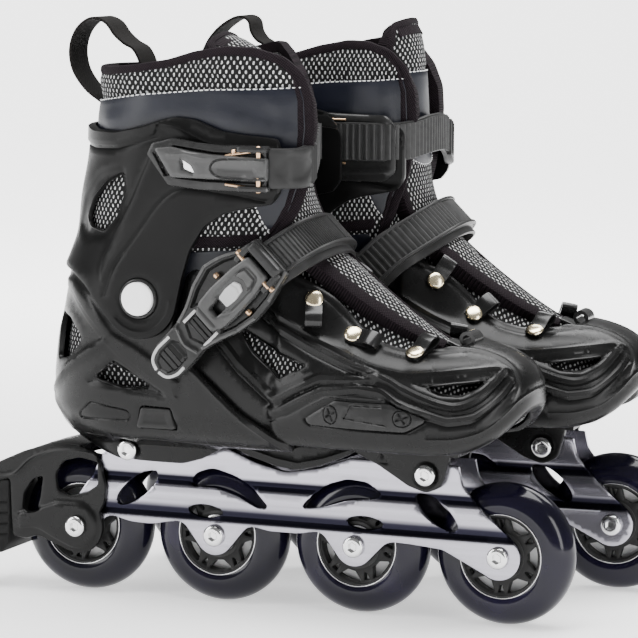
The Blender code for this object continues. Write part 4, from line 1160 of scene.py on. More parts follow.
# ----------------------------------------------------------------------------------------- cuff
def cuff():
    """The cuff: lobes down to the pivots, arms to the front, side windows and a collar band."""
    line = [(-4, 260), (10, 259.5, 10), (19, 257.6, 10), (37, 257.6, 14), (54, 261, 14), (64, 264.4, 12),
            (73, 266.2, 8), (84, 265, 10), (98, 259.5, 14), (112, 257.6, 12), (129.5, 256, 2.5),
            (131, 252, 2), (131, 228, 2), (126.5, 221.6, 3), (110, 218.4, 10), (100, 216, 14),
            (89, 209, 14), (80.5, 196, 20), (76, 181, 20)]
    line += arc(*PIVOT, 21.8, -8.0, -140.0, 14)
    line += [(27, 163.4, 10), (17, 174.6, 14), (6, 180.6, 14), (-6, 183, 10), (-14, 183.6)]
    outline = around_back(on_cuff, rounded(line, 6.0, closed=False))
    window = rounded([(41.5, 235.5, 1.5), (42.5, 226, 8), (38.5, 213.5, 10), (28.5, 203.6, 4), (17, 206, 4),
                      (15, 211, 3), (20, 221, 14), (30, 230.5, 14)], 3.0)
    rim_field = rounded([(44.5, 241, 3), (46, 226, 8), (41, 210, 10), (30, 199, 5), (14, 196.5, 6),
                         (6, 203, 6), (12, 222, 14), (24, 236, 14)], 3.0)
    strut = rounded([(26, 186, 20), (36, 205, 20), (46.5, 222, 20), (53, 236, 20), (58, 246.5, 8),
                     (64, 251, 4), (131, 250, 1), (140, 224, 1), (122, 223, 8), (109, 225.6, 16),
                     (87, 228.2, 12), (77, 228.6, 8), (69, 225, 8), (61, 217.5, 20), (50, 203, 20),
                     (36, 185, 20), (28, 172, 8)], 4.0)
    shoulder = smooth_line([(30, 170), (36, 185), (50, 203), (61, 217.5), (69, 225), (77, 228.6),
                            (87, 228.2), (109, 225.6), (123, 223)])
    collar = [(-4, 248), (10, 248.6), (20, 247.6), (38, 248.4), (53, 252.2), (62, 255)]
    arm_line = smooth_line([(62, 263), (74, 261.2), (83, 257), (91, 253.6), (100, 252.2), (129, 251)])
    hem = arc(*PIVOT, 18.2, -4.0, -138.0, 14)
    collar_line = [(-4, 249.2), (10, 249.6, 6), (20, 248.6, 6), (38, 249.4, 8), (53, 253.2, 8),
                   (62, 256.4, 3), (66, 268, 1), (-4, 268)]
    collar_loop = around_back(on_cuff, rounded(collar_line, 2.0, closed=False))
    features = [Plate(collar_loop, 1.3, 1.0)]
    holes = []
    for side in FLANKS:
        features += [
            Plate(on_cuff(strut, side, closed=True), 2.6, 1.0),
            Ridge(on_cuff(shoulder, side), 1.5, -0.5),
            Plate(on_cuff(rim_field, side, closed=True), 3.2, -1.1),
            Ridge(on_cuff(collar, side), 1.1, -0.5),
            Ridge(on_cuff(arm_line, side), 1.8, 0.9),
            Plate(on_cuff(ring(*PIVOT, 11.4, 40), side, 1.5, closed=True), 0.9, -0.5),
            Ridge(on_cuff(hem, side), 1.6, 0.35),
        ]
        holes += [on_cuff(window, side, 1.5, closed=True),
                  on_cuff(ring(*PIVOT, 4.4, 20), side, 1.2, closed=True)]
    return panel(outline, cuff_surface, WALL, holes, features, spacing=2.5, edge=1.0)


def pivot_cap(outer, inner):
    """A round cap with a soft edge, and the bolt behind it."""
    radius, shank, shank_end = CAP_RADIUS, 3.8, 38.0
    edge = [(-outer, 0), (-outer, radius * 0.6), (-outer + 0.15, radius * 0.9),
            (-outer + 0.55, radius - 0.25), (-outer + 1.3, radius), (-inner, radius), (-inner, shank),
            (-shank_end, shank), (-shank_end, 0)]
    return turned(edge, 56, PIVOT)


def pivot_collar(outer):
    """The dark ring around a cap."""
    radius = CAP_RADIUS
    line = [(-outer, radius + 0.35), (-outer - 0.25, radius + 0.9), (-outer, radius + 1.5),
            (-outer + 1.6, radius + 1.7), (-outer + 1.6, radius + 0.2)]
    return turned(line, 56, PIVOT, closed=True)


build("heel_shell_wall", heel_shell(), SHELL, "boot", "shell_plastic", ["heel_shell"])
build("sole_chassis", sole(), SHELL, "boot", "shell_plastic")
build("size_button", push_button(), BUTTON, "button", "button_plastic", ["push_button"])
build("toe_shell_wall", toe_shell(), SHELL, "toe", "shell_plastic", ["toe_shell"])
build("cuff_wall", cuff(), CUFF, "ankle", "shell_plastic", ["cuff"])
build("outer_cap", pivot_cap(50.4, 46.8), CAP, "boot", "cap_plastic", ["outer_pivot"])
build("inner_cap", pivot_cap(49.3, 46.8).mirrored(), TRIM, "boot", "trim_plastic", ["inner_pivot"])
build("outer_collar", pivot_collar(48.3), TRIM, "boot", "trim_plastic")
build("inner_collar", pivot_collar(48.3).mirrored(), TRIM, "boot", "trim_plastic")


# ------------------------------------------------------------------------------------ soft parts
def mesh_fabric():
    """Black knitted mesh with offset rows of pale dashes."""
    paint = Paint("mesh_fabric", 0.8, specular=0.15)
    where = paint.place(1.0, flat=True)
    parts = paint.node("ShaderNodeSeparateXYZ", {"Vector": where})
    wobble = paint.math("MULTIPLY", paint.math("SUBTRACT", paint.noise(160.0, 2.0, flat=True), 0.5), 0.9)
    row = paint.math("ADD", paint.math("DIVIDE", parts.outputs["Y"], MESH_ROW * MM),
                     paint.math("MULTIPLY", wobble, 0.4))
    parity = paint.math("MODULO", paint.math("ABSOLUTE", paint.math("FLOOR", row)), 2.0)
    shift = paint.math("MULTIPLY", parity, 0.5)
    column = paint.math("ADD", paint.math("DIVIDE", parts.outputs["X"], MESH_COLUMN * MM),
                        paint.math("ADD", shift, wobble))
    across = paint.math("DIVIDE", paint.math("SUBTRACT", paint.math("FRACT", column), 0.5), 0.155)
    along = paint.math("DIVIDE", paint.math("SUBTRACT", paint.math("FRACT", row), 0.5), 0.42)
    round_off = paint.math("ADD", paint.math("POWER", paint.math("ABSOLUTE", across), 2.0),
                           paint.math("POWER", paint.math("ABSOLUTE", along), 3.0))
    dash = paint.node("ShaderNodeMapRange", {"Value": round_off}, From_Min=1.15,
                      From_Max=0.65).outputs["Result"]
    thread = paint.ramp(paint.noise(900.0, 2.0, flat=True), (0.35, (0.20, 0.20, 0.21)),
                        (0.6, (0.55, 0.55, 0.55)), (0.75, (0.85, 0.85, 0.83)))
    ground = paint.ramp(paint.noise(1500.0, 2.0, flat=True), (0.35, 0.002), (0.7, 0.008))
    paint.colour(paint.mix(dash, ground, thread))
    paint.bump(dash, 0.6, 0.0005)
    paint.bump(paint.noise(1800.0, 2.0, flat=True), 0.35, 0.0003)
    return paint.material


def leatherette():
    """Smooth blue-black coated fabric with a fine grain."""
    paint = Paint("liner_leatherette", 0.40, specular=0.3)
    paint.colour(paint.ramp(paint.noise(30.0, 3.0), (0.3, (0.003, 0.004, 0.008)),
                            (0.7, (0.006, 0.007, 0.013))))
    paint.set("Roughness", paint.math("ADD", paint.math("MULTIPLY", paint.noise(120.0, 3.0), 0.2), 0.30))
    cells = paint.node("ShaderNodeTexVoronoi", {"Vector": paint.place()}, Scale=1400.0).outputs["Distance"]
    paint.bump(cells, 0.12, 0.0003)
    paint.bump(paint.noise(24.0, 2.0), 0.25, 0.004)
    return paint.material


def ribbed_fabric(name, dark, light, pitch, strength):
    """Knit or webbing with fine ribs across its length."""
    paint = Paint(name, 0.85, specular=0.12)
    where = paint.place(1.0, flat=True, turn=0.6)
    wave = paint.node("ShaderNodeTexWave", {"Vector": where}, Scale=1.0 / (pitch * MM) / 3.2,
                      Distortion=1.2, Detail=2.0, Detail_Scale=2.0).outputs["Fac"]
    cross = paint.node("ShaderNodeTexWave", {"Vector": paint.place(1.0, flat=True, turn=-0.9)},
                       Scale=1.0 / (pitch * MM) / 3.2, Distortion=1.0).outputs["Fac"]
    weave = paint.math("MULTIPLY", paint.math("ADD", wave, cross), 0.5)
    tone = paint.math("ADD", paint.math("MULTIPLY", weave, 0.7),
                      paint.math("MULTIPLY", paint.noise(700.0, 2.0), 0.3))
    paint.colour(paint.ramp(tone, (0.25, dark), (0.8, light)))
    paint.bump(weave, strength, 0.0004)
    return paint.material


def plain_thread():
    """Pale waxed sewing thread."""
    paint = Paint("sewing_thread", 0.55, sheen=0.2)
    paint.colour(paint.ramp(paint.noise(2500.0, 2.0), (0.3, 0.55), (0.7, 0.85)))
    paint.bump(paint.noise(3000.0, 2.0), 0.3, 0.0002)
    return paint.material


MESH_ROW, MESH_COLUMN = 2.35, 3.1
MESH = mesh_fabric()
LEATHER = leatherette()
KNIT = ribbed_fabric("knit_binding", (0.0015, 0.001, 0.0014), (0.014, 0.009, 0.012), 1.0, 0.8)
WEBBING = ribbed_fabric("black_webbing", (0.002, 0.0018, 0.0017), (0.011, 0.0095, 0.0085), 1.3, 0.6)
THREAD = plain_thread()

LINER_ROUND, LINER_TURN = 46.0, 64.0
LINER_GAP, LINER_UPPER_GAP = 8.4, 4.8


def liner_back(z):
    """The liner's rearmost x at a height."""
    return np.maximum(HEEL(z), CUFF_SHAPE(z)) + LINER_UPPER_GAP


def liner_surface(flat):
    """The liner's outside: u from the back's middle line, z up. Its front edges turn inwards."""
    u, z = flat[:, 0], flat[:, 1]
    low, high = HEEL(z, 1) - LINER_GAP, CUFF_SHAPE(z, 1) - LINER_UPPER_GAP
    half = low + (high - low) * ease((z - 178.0) / 30.0)
    back = liner_back(z)
    turn = np.minimum(np.abs(u) / LINER_TURN, 1.0) * math.pi / 2.0
    run = np.maximum(np.abs(u) - LINER_TURN, 0.0)
    x = back + LINER_ROUND * (1.0 - np.cos(turn)) + run
    tuck = 11.0 * ease((x - 98.0) / 48.0) + 3.0 * ease((z - 272.0) / 34.0)
    return np.column_stack([x, -np.sign(u) * (half - tuck) * np.sin(turn), z])


def on_liner(points, side=1.0, step=3.0, closed=False):
    """A side-view line on the liner."""
    return wrapped(points, liner_back, LINER_ROUND, LINER_TURN, side, step, closed)


def strip_loop(line, half):
    """The closed outline of a strip along an open line."""
    line = resampled(line, 2.0, closed=False)
    across = beside(unit(np.gradient(line, axis=0))) * half
    return np.vstack([line + across, (line - across)[::-1]])


def stitches(line, surface):
    """A row of short raised stitches along a line on a surface."""
    pitch, length, width, lift, sunk = 3.0, 2.1, 0.42, 0.35, -0.25
    line = resampled(line, pitch, closed=False)
    ahead = unit(np.gradient(line, axis=0))
    parts, low, high = [], raised(surface, sunk), raised(surface, lift)
    along = np.array([-0.5, -0.32, 0.0, 0.32, 0.5]) * length
    wide = np.array([0.5, 0.9, 1.0, 0.9, 0.5]) * width
    for point, way in zip(line, ahead):
        side = np.array([-way[1], way[0]])
        left = point + along[:, None] * way + wide[:, None] * side
        right = point + along[:, None] * way - wide[:, None] * side
        crest = high(point + along[:, None] * way)
        low_left, low_right = low(left), low(right)
        for end in (0, -1):
            crest[end] = (low_left[end] + low_right[end] + crest[end]) / 3.0
        points = np.vstack([low_left, crest, low_right])
        faces = []
        for k in range(4):
            faces += [(k + 1, k, 5 + k, 6 + k), (6 + k, 5 + k, 10 + k, 11 + k), (k, k + 1, 11 + k, 10 + k)]
        faces += [(0, 10, 5), (4, 9, 14)]
        parts.append(Shape(points, faces, np.zeros((15, 2))))
    return joined(*parts)


def bend_ankle():
    """A deform step that only bakes a piece's placement into its mesh; nothing is blended between boot and
    ankle.
    """
    def deform(item, side):
        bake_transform(item)
    return deform


# How far each soft flap is drawn back from its widest place: outer side, inner side.
PULL = {"right": (-4.0, 23.0), "left": (12.0, 8.0)}


def pulled(shape, side):
    """The liner's front flaps, drawn back behind the straps."""
    x, y, z = shape.points.T
    outer, inner = PULL[side]
    share = ease((y + 34.0) / 68.0)
    back = (outer + (inner - outer) * share) * ease((x - 84.0) / 56.0) * ease((z - 184.0) / 36.0)
    return Shape(np.column_stack([x - back, y, z]), shape.faces, shape.flat)


def build_pulled(name, shape, material, **more):
    """A liner piece on each skate, with its own flap."""
    return [build(name, pulled(shape, side), material, "boot", "liner_fabric", sides=(side,),
                  deform=LINER_BEND, **more)[0] for side in SIDES]


LINER_BEND = bend_ankle()
TONGUE_BEND = bend_ankle()
TOP_EDGE = [(-3, 290.5), (10, 290), (28, 290), (47, 292), (66, 295), (81, 299.5), (98, 302.5), (112, 302),
            (126, 297.5), (135.5, 288.5), (140.5, 276), (141.5, 262), (139.5, 245), (137, 230),
            (133.5, 219), (128.5, 210), (122.5, 202), (117, 193)]
SEAM_LINE = [(-3, 270.5), (20, 272.5), (50, 277), (90, 280.5), (120, 281.5), (134.5, 282.5)]
FRONT_SEAM = [(112, 226), (113.5, 219), (116.5, 212), (120, 206.5)]


def liner_upper():
    """The padded liner around ankle and heel, open at the front."""
    edge_line = rounded(TOP_EDGE, 14.0, closed=False)
    low = [(112, 183, 8), (108, 165, 14), (104, 140, 14), (101, 110, 10), (97, 99.5, 3), (60, 99.5),
           (20, 99.5), (-12, 99.5)]
    outline = around_back(on_liner, rounded([*edge_line, *low], 8.0, closed=False))
    features = [Ridge(on_liner(SEAM_LINE, side), 3.6, -1.1) for side in FLANKS]
    for side in FLANKS:
        features.append(Ridge(on_liner([(-3, 281), (20, 283), (48, 286), (90, 292), (112, 293), (128, 286)],
                                       side), 6.5, 1.3))
        features.append(Ridge(on_liner([(60, 130), (54, 160), (52, 182)], side), 9.0, 0.9))
    return panel(outline, liner_surface, 7.5, [], features, spacing=3.4, edge=2.6)


def liner_leather():
    """The coated patch around the shaft, from the collar seam down, with a curved front tail."""
    line = [(-3, 270.9), *[(x, z + 0.4) for x, z in SEAM_LINE[1:]], (136.5, 281, 4), (137.8, 262),
            (136, 245), (133.4, 230), (130, 220), (124, 209.5, 3),
            *[(x, z, 8) for x, z in FRONT_SEAM[::-1]], (111, 236, 8), (80, 240), (30, 238), (-3, 238)]
    outline = around_back(on_liner, rounded(line, 5.0, closed=False))
    creases = []
    for side in FLANKS:
        creases += [Ridge(on_liner([(30, 262), (64, 268), (100, 266), (126, 258)], side), 9.0, 0.8),
                    Ridge(on_liner([(124, 274), (129, 255), (127, 238), (123, 222)], side), 6.0, 0.7)]
    return panel(outline, raised(liner_surface, 0.55), 1.4, [], creases, spacing=3.2, edge=0.7)


def ankle_patches(loop, height, thickness, features=()):
    """A patch at the ankle on the liner's outer side, and the same one on its inner side."""
    parts = []
    for side in FLANKS:
        lines = [Ridge(on_liner(line, side), half, rise) for line, half, rise in features]
        outline = on_liner(rounded(loop, 2.0), side, 2.0, closed=True)
        parts.append(panel(outline, raised(liner_surface, height), thickness, [], lines, spacing=2.6,
                           edge=0.7))
    return joined(*parts)


def liner_binding():
    """The knitted binding that wraps the liner's top and front edge."""
    loops = []
    for side in FLANKS:
        line = on_liner(rounded(TOP_EDGE, 14.0, closed=False), side, 2.0)
        loops.append(line[np.abs(line[:, 0]) > 1.0])
    outer = np.vstack([loops[0][::-1], loops[1]])
    across = beside(unit(np.gradient(outer, axis=0)))
    run = np.abs(outer[:, 0])
    wide = 4.0 + 6.5 * ease((run - 130.0) / 30.0)
    if (outer[len(outer) // 2] + across[len(outer) // 2])[1] > outer[len(outer) // 2][1]:
        across = -across
    loop = np.vstack([outer - across * 1.1, (outer + across * wide[:, None])[::-1]])
    middle = outer + across * (wide * 0.55)[:, None]
    front = np.abs(middle[:, 0]) > 126.0
    third = len(middle) // 3
    ends = (slice(None, third), slice(-third, None))
    lines = [Ridge(middle[part][front[part]], 1.2, -0.7) for part in ends]
    return panel(loop, raised(liner_surface, 1.1), 9.6, [], lines, spacing=2.2, edge=1.6)


# Each tongue's middle line: x, z, half width. The right one leans back into the empty boot.
TONGUE_TOP = {
    "right": [(80, 309, 22), (92, 304.5, 25), (106, 296, 28), (116, 283, 29), (122, 265, 29),
              (125, 244, 28.5), (128, 224, 28)],
    "left": [(120.5, 315, 22), (124, 308, 25.5), (127, 297, 28), (128.6, 282, 29), (129.5, 262, 29),
             (130, 240, 28.5), (131, 222, 28)],
}
TONGUE_FOOT = [(136.5, 207, 27), (147, 194.5, 25), (160, 183, 22.5), (175, 171.5, 19.5), (190, 161, 16),
               (204, 152.5, 12), (214, 147.5, 8)]
TONGUE_SEAM, TONGUE_LOW_SEAM, SEAM_STEPS = 30.0, 84.0, 24


class Tongue:
    """A padded tongue, laid out with v across it and s down along it from its top edge."""

    def __init__(self, side):
        self.fine = smooth_line(TONGUE_TOP[side] + TONGUE_FOOT, 1.5)
        spine = self.fine[:, (0, 1)]
        self.run = run_along(spine)
        self.way = np.gradient(spine, self.run, axis=0)
        self.end = float(self.run[-1])

    def half(self, s):
        return np.interp(s, self.run, self.fine[:, 2])

    def surface(self, flat):
        v, s = flat[:, 0], flat[:, 1]
        x, z = np.interp(s, self.run, self.fine[:, 0]), np.interp(s, self.run, self.fine[:, 1])
        dx, dz = np.interp(s, self.run, self.way[:, 0]), np.interp(s, self.run, self.way[:, 1])
        size = np.hypot(dx, dz)
        wrap = (0.24 + 0.34 * ease((90.0 - s) / 60.0)) * (0.5 + 0.5 * ease(s / 30.0))
        drop = wrap * np.abs(v) ** 2.2 / self.half(s) ** 1.2
        return np.column_stack([x + dz / size * drop, -v, z - dx / size * drop])

    def pad(self):
        """The padded tongue with its quilted channels."""
        steps = np.arange(0.0, self.end, 3.0)
        outline = [(self.half(s), s, 6) for s in steps] + [(-self.half(s), s, 6) for s in steps[::-1]]
        features = [Ridge([(-26, TONGUE_SEAM), (26, TONGUE_SEAM)], 2.4, -0.9)]
        features += [Ridge([(-20, at), (20, at)], 5.0, -0.9) for at in (122, 144)]
        features.append(Ridge([(0, 128), (0, 196)], 9.0, 0.8))
        return panel(rounded(outline, 6.0), self.surface, 8.0, [], features, spacing=3.2, edge=3.0)

    def leather(self):
        """The coated patch on the shin, between the two seams."""
        flank = [(self.half(s) - 4.5, s) for s in np.arange(TONGUE_SEAM + 0.5, TONGUE_LOW_SEAM - 8.0, 4.0)]
        half = [*flank, (14, TONGUE_LOW_SEAM - 2.0), (0, TONGUE_LOW_SEAM)]
        return panel([*half, *[(-a, b) for a, b in half[::-1][1:]]], raised(self.surface, 0.45), 1.3,
                     spacing=3.0, edge=0.6)

    def binding(self):
        """The knitted edge along both sides and over the top."""
        steps = np.arange(3.0, self.end - 1.0, 2.5)
        right = [(self.half(s) + 0.8, s) for s in steps]
        inner = [(self.half(s) - 4.0 - 3.0 * ease((s - 110.0) / 30.0), s) for s in steps[1:]]
        top, low = self.half(0.0) - 2.0, self.half(4.0) - 5.0
        loop = [*right[::-1], (top, -0.9), (-top, -0.9), *[(-a, b) for a, b in right],
                *[(-a, b) for a, b in inner[::-1]], (-low, 4), (low, 4), *inner]
        return panel(loop, raised(self.surface, 0.9), 9.4, spacing=2.4, edge=1.5)

    def stitching(self):
        """The stitches along both seams."""
        low_spots, top_spots = (np.linspace(-end, end, SEAM_STEPS) for end in (23.0, 24.0))
        low = [(a, TONGUE_LOW_SEAM - 1.2 - 7.0 * (abs(a) / 24.0) ** 2.4) for a in low_spots]
        top = [(a, TONGUE_SEAM + 0.8) for a in top_spots]
        return joined(*[stitches(line, raised(self.surface, 0.5)) for line in (low, top)])


FOOT_TOP = Table([(60, 172), (100, 188), (132, 192), (147, 186.5), (160, 175.5), (175, 164), (190, 153.5),
                  (204, 146.5), (220, 141.5), (236, 134), (247, 124)])
FOOT_GAP = 4.6


def foot_liner():
    """The liner's foot part inside the toe shell, with the vamp that rises to the tongue."""
    stations = np.concatenate([np.arange(64.0, 232.0, 4.0), np.linspace(233.0, 247.0, 8)])
    shares = np.array([(0.90, 0), (0.97, 0.05), (1, 0.16), (1, 0.30), (0.985, 0.44), (0.905, 0.60),
                       (0.73, 0.76), (0.60, 0.82), (0.45, 0.88), (0.30, 0.95), (0.15, 0.99), (0, 1)])
    points, flat, rows = [], [], 2 * len(shares) - 1
    for x in stations:
        nose = math.sqrt(max(0.0, 1.0 - max(0.0, (x - TOE_CENTRE) / (TOE_REACH - 8.0)) ** 2))
        clamped = min(x, TOE_CENTRE)
        half = float(min(TOE(np.array([clamped]), 0)[0],
                         heel_half(np.array([clamped]), np.array([120.0]))[0] - 4.2
                         + 30.0 * ease((x - 122.0) / 30.0))) - FOOT_GAP
        shell_top, low = float(TOE(np.array([clamped]), 1)[0]), 97.6
        top = float(FOOT_TOP(np.array([x]))[0])
        low += 1.15 * float(TOE_RISE(np.array([min(x + 7.0, 261.0)]))[0])
        heights = low + (min(shell_top - 3.0, top) - low) * shares[:, 1]
        crown = ease((shares[:, 1] - 0.80) / 0.20) * (top - heights[-1])
        side = np.column_stack([half * nose * shares[:, 0], heights + crown])
        section = np.vstack([side * [-1.0, 1.0], side[::-1][1:]])
        points.append(np.column_stack([np.full(rows, x), section]))
        girth = run_along(section)
        flat.append(np.column_stack([np.full(rows, x), girth - girth[-1] / 2.0]))
    faces, count = [], len(stations)
    for i in range(count - 1):
        here, there = i * rows, (i + 1) * rows
        faces += [(here + k, there + k, there + (k + 1) % rows, here + (k + 1) % rows) for k in range(rows)]
    faces += [tuple(range(rows)), tuple(range((count - 1) * rows, count * rows))[::-1]]
    return Shape(np.vstack(points), faces, np.vstack(flat))


def webbing_loop(line, half):
    """A folded length of webbing in the side plane."""
    thick = 0.65
    path = smooth_line([(x, 0, z) for x, z in line], 1.6)
    out = np.cross(unit(np.gradient(path, axis=0)), [0.0, 1.0, 0.0])
    profile = [(-half, -thick), (-half, thick), (0, thick), (half, thick), (half, -thick), (0, -thick)]
    return band(path, lambda i: ((0.0, 1.0, 0.0), out[i]), profile)


for piece in build_pulled("liner_upper", liner_upper(), MESH, replaces=["liner"]):
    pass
build_pulled("liner_leather", liner_leather(), LEATHER)
build_pulled("liner_binding", liner_binding(), KNIT)
ANKLE_LEATHER = [(63, 194), (80, 194.5), (102, 196.3), (111, 197.2), (107.5, 182), (103, 160), (98, 140),
                 (63, 140)]
ANKLE_BAND = [(63, 195.8), (80, 196.3), (102, 198.1), (113, 199.4), (117, 205.8), (102, 204), (80, 202.8),
              (63, 202)]
ANKLE_CREASE = [(66, 186), (84, 184), (104, 187)]
build_pulled("liner_ankle_leather", ankle_patches(ANKLE_LEATHER, 0.6, 1.4, [(ANKLE_CREASE, 7, 0.7)]), LEATHER)
build_pulled("liner_ankle_band", ankle_patches(ANKLE_BAND, 0.7, 1.4), KNIT)
for side in SIDES:
    form = Tongue(side)
    (build("tongue_pad", form.pad(), MESH, "boot", "liner_fabric", ["tongue"], (side,),
                    deform=TONGUE_BEND)[0])
    for name, shape, material in (("leather", form.leather(), LEATHER), ("binding", form.binding(), KNIT),
                                  ("stitching", form.stitching(), THREAD)):
        build(f"tongue_{name}", shape, material, "boot", "liner_fabric", sides=(side,), deform=TONGUE_BEND)
for piece in build("liner_foot", foot_liner(), MESH, "toe", "liner_fabric"):
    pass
sewn = [stitches(on_liner(line, side, 1.5), raised(liner_surface, 0.6))
        for side in FLANKS for line in (SEAM_LINE, FRONT_SEAM)]
build_pulled("liner_stitching", joined(*sewn), THREAD)
# The left loop leans a little further forward than the right one.
HEEL_LOOP = [(11.5, 271), (3, 277), (-5, 288), (-6.5, 300), (-2, 310.5), (6.5, 315.8), (14.5, 313.5),
             (20, 307), (25.5, 302.5), (31, 299.5), (35.5, 291), (36.5, 281)]
for side, lean in (("right", 0.0), ("left", 0.42)):
    leaning = [(x + lean * max(0.0, z - 278.0) * (1.0 - 0.35 * ease((x - 4.0) / 26.0)),
                z - 0.08 * lean * (z - 272.0)) for x, z in HEEL_LOOP]
    build("heel_pull_loop", webbing_loop(leaning, 10.5), WEBBING, "ankle", "webbing", ["heel_loop"], (side,))


# ------------------------------------------------------------------------------ straps and buckles
SILVER = moulded("silver_edge", 0.30, 0.42, 0.28, grain=0.04, rub=0.1)
SATIN = moulded("lever_plastic", 0.028, 0.044, 0.26, grain=0.05, rub=0.05, coat=0.3)
VINYL = moulded("loop_vinyl", 0.004, 0.008, 0.20, grain=0.04, rub=0.01, coat=0.4)


ROD_SEGMENTS = 20


def rod(start, end, radius):
    """A round rod with slightly rounded ends."""
    start, end = np.array(start, float), np.array(end, float)
    way = (end - start) / np.linalg.norm(end - start)
    aside = np.cross(way, [0.0, 0.0, 1.0] if abs(way[2]) < 0.9 else [1.0, 0.0, 0.0])
    aside /= np.linalg.norm(aside)
    up = np.cross(way, aside)
    turn = circle_turns(ROD_SEGMENTS)
    circle = np.outer(np.cos(turn), aside) + np.outer(np.sin(turn), up)
    length, soft = np.linalg.norm(end - start), 0.25 * radius
    rows = [(0, radius - soft), (soft, radius), (length - soft, radius), (length, radius - soft)]
    points = np.vstack([start + way * a + circle * r for a, r in rows])
    return Shape(points, tube_faces(len(rows), ROD_SEGMENTS))


class Route:
    """A strap's middle line with its width and outward directions, as a surface in (run, across)."""

    def __init__(self, path, wide, centre):
        self.path = np.asarray(path, float)
        self.run = run_along(self.path)
        self.wide = np.asarray(wide, float)
        ahead = np.gradient(self.path, self.run, axis=0)
        out = unit(np.cross(ahead, self.wide))
        self.sense = 1.0 if ((self.path - centre) * out).sum() > 0 else -1.0
        self.out = out * self.sense

    def at(self, run, across, height=0.0):
        run = np.atleast_1d(np.asarray(run, float))
        point = np.column_stack([np.interp(run, self.run, self.path[:, k]) for k in range(3)])
        out = np.column_stack([np.interp(run, self.run, self.out[:, k]) for k in range(3)])
        lift = out * np.broadcast_to(height, run.shape)[:, None]
        return point + np.outer(np.broadcast_to(across, run.shape), self.wide) + lift

    def surface(self, height):
        return lambda flat: self.at(flat[:, 0], flat[:, 1] * self.sense, height)

    def strip(self, start, end, half, low, high, corner=0.7, middle=0.0):
        """A plain strip along part of the route."""
        steps = np.linspace(start, end, max(3, int((end - start) / 2.2)))
        rows = rounded_strip(half, low, high, corner)
        count, across, heights = len(rows), [middle + a for a, _ in rows], np.array([h for _, h in rows])
        points = np.vstack([self.at(np.full(count, run), across, heights) for run in steps])
        flat = np.column_stack([np.repeat(steps, count), np.tile([a + h for a, h in rows], len(steps))])
        return Shape(points, tube_faces(len(steps), count), flat)

    def teeth(self, start, end, half, low, high, pitch):
        """Rows of sloping teeth across the strap."""
        parts = []
        shares = np.array([0.0, 0.05, 0.16, 0.30, 0.72, 0.80])
        heights = np.array([low, high - 0.15, high, high - 0.1, low + 0.25, low])
        count = len(shares)
        for run in np.arange(start, end - pitch, pitch):
            rows = [self.at(run + pitch * shares, np.full(count, across), heights)
                    for across in (-half, half)]
            parts.append(Shape(np.vstack(rows), tube_faces(2, count), np.zeros((2 * count, 2))))
        return joined(*parts)


# The ankle strap's line in plan, from the buckle round the front to the inner clasp.
CUFF_LINE = {
    "right": [(112, -49.9), (121, -49.8), (128.5, -49), (135, -46.2), (139.3, -40), (140, -30),
              (136.6, -15), (131, 0), (125.5, 15), (120, 30), (115, 41), (108, 47.6), (99, 49.3),
              (86, 49.3)],
    "left": [(112, -49.9), (118.5, -49.2), (125, -45.4), (129.6, -38), (132.8, -25), (134.6, -10),
             (134.8, 10), (133, 25), (129.5, 37), (123, 46), (114, 49), (102, 49.3), (86, 49.3)],
}


def cuff_route(side):
    """The strap climbs from the buckle to the front and drops a little to the inner clasp."""
    line = smooth_line(CUFF_LINE[side], 1.2)
    climb = ease((line[:, 1] + 42.0) / 36.0) * (7.5 + 3.0 * ease((46.0 - line[:, 1]) / 36.0))
    return Route([(x, y, 241.0 + up) for (x, y), up in zip(line, climb)], (0.0, 0.0, 1.0), (90.0, 0.0, 241.0))


# The instep buckle leans back by 45 degrees: its directions up and across the strap.
INSTEP_UP = np.array([1.0, 0.0, 1.0]) / math.sqrt(2.0)
INSTEP_ACROSS = np.array([1.0, 0.0, -1.0]) / math.sqrt(2.0)
INSTEP_ORIGIN, INSTEP_SHIFT = np.array([75.0, 0.0, 135.0]), -4.5


def instep_route():
    """Up the outer side, over the instep and down the inner side."""
    line = smooth_line([(-46.6, 0), (-46.6, 22), (-46.6, 44), (-46.6, 64), (-46.2, 78), (-43, 87),
                        (-34, 93), (-18, 96.5), (0, 96.5), (18, 92.5), (31, 86), (41, 76), (46, 64),
                        (46.6, 44), (46.6, 22), (46.6, 0)], 1.3)
    slide = INSTEP_SHIFT + 3.0 * ease((line[:, 1] - 66.0) / 28.0)
    path = [INSTEP_ORIGIN + INSTEP_UP * up + INSTEP_ACROSS * a + [0.0, y, 0.0] for (y, up),
            a in zip(line, slide)]
    return Route(path, INSTEP_ACROSS, INSTEP_ORIGIN + INSTEP_UP * 60.0)


def instep_plane(y):
    """The buckle's plane: a across the strap, u up along it."""
    def plane(flat):
        across, up = np.outer(flat[:, 0] + INSTEP_SHIFT, INSTEP_ACROSS), np.outer(flat[:, 1], INSTEP_UP)
        return INSTEP_ORIGIN + across + up + [0.0, y, 0.0]
    return plane


def instep_point(a, u, y):
    """One point of the buckle's plane."""
    return instep_plane(y)(np.array([[a, u]], float))[0]


INSTEP_ROUTE = instep_route()
INSTEP_LENGTH = INSTEP_ROUTE.run[-1]


# The right strap's teeth end before its inner side, which faces the left skate closely.
BARE_END = {"right": 44.0, "left": 4.0}


def cuff_strap(route, bare):
    """The ratchet strap: smooth near the buckle, then a long run of coarse teeth up to its bare end."""
    total = route.run[-1]
    return joined(route.strip(0.0, total, 10.5, 0.0, 2.6),
                  route.teeth(46.0, total - bare, 9.6, 2.4, 4.4, 3.7))


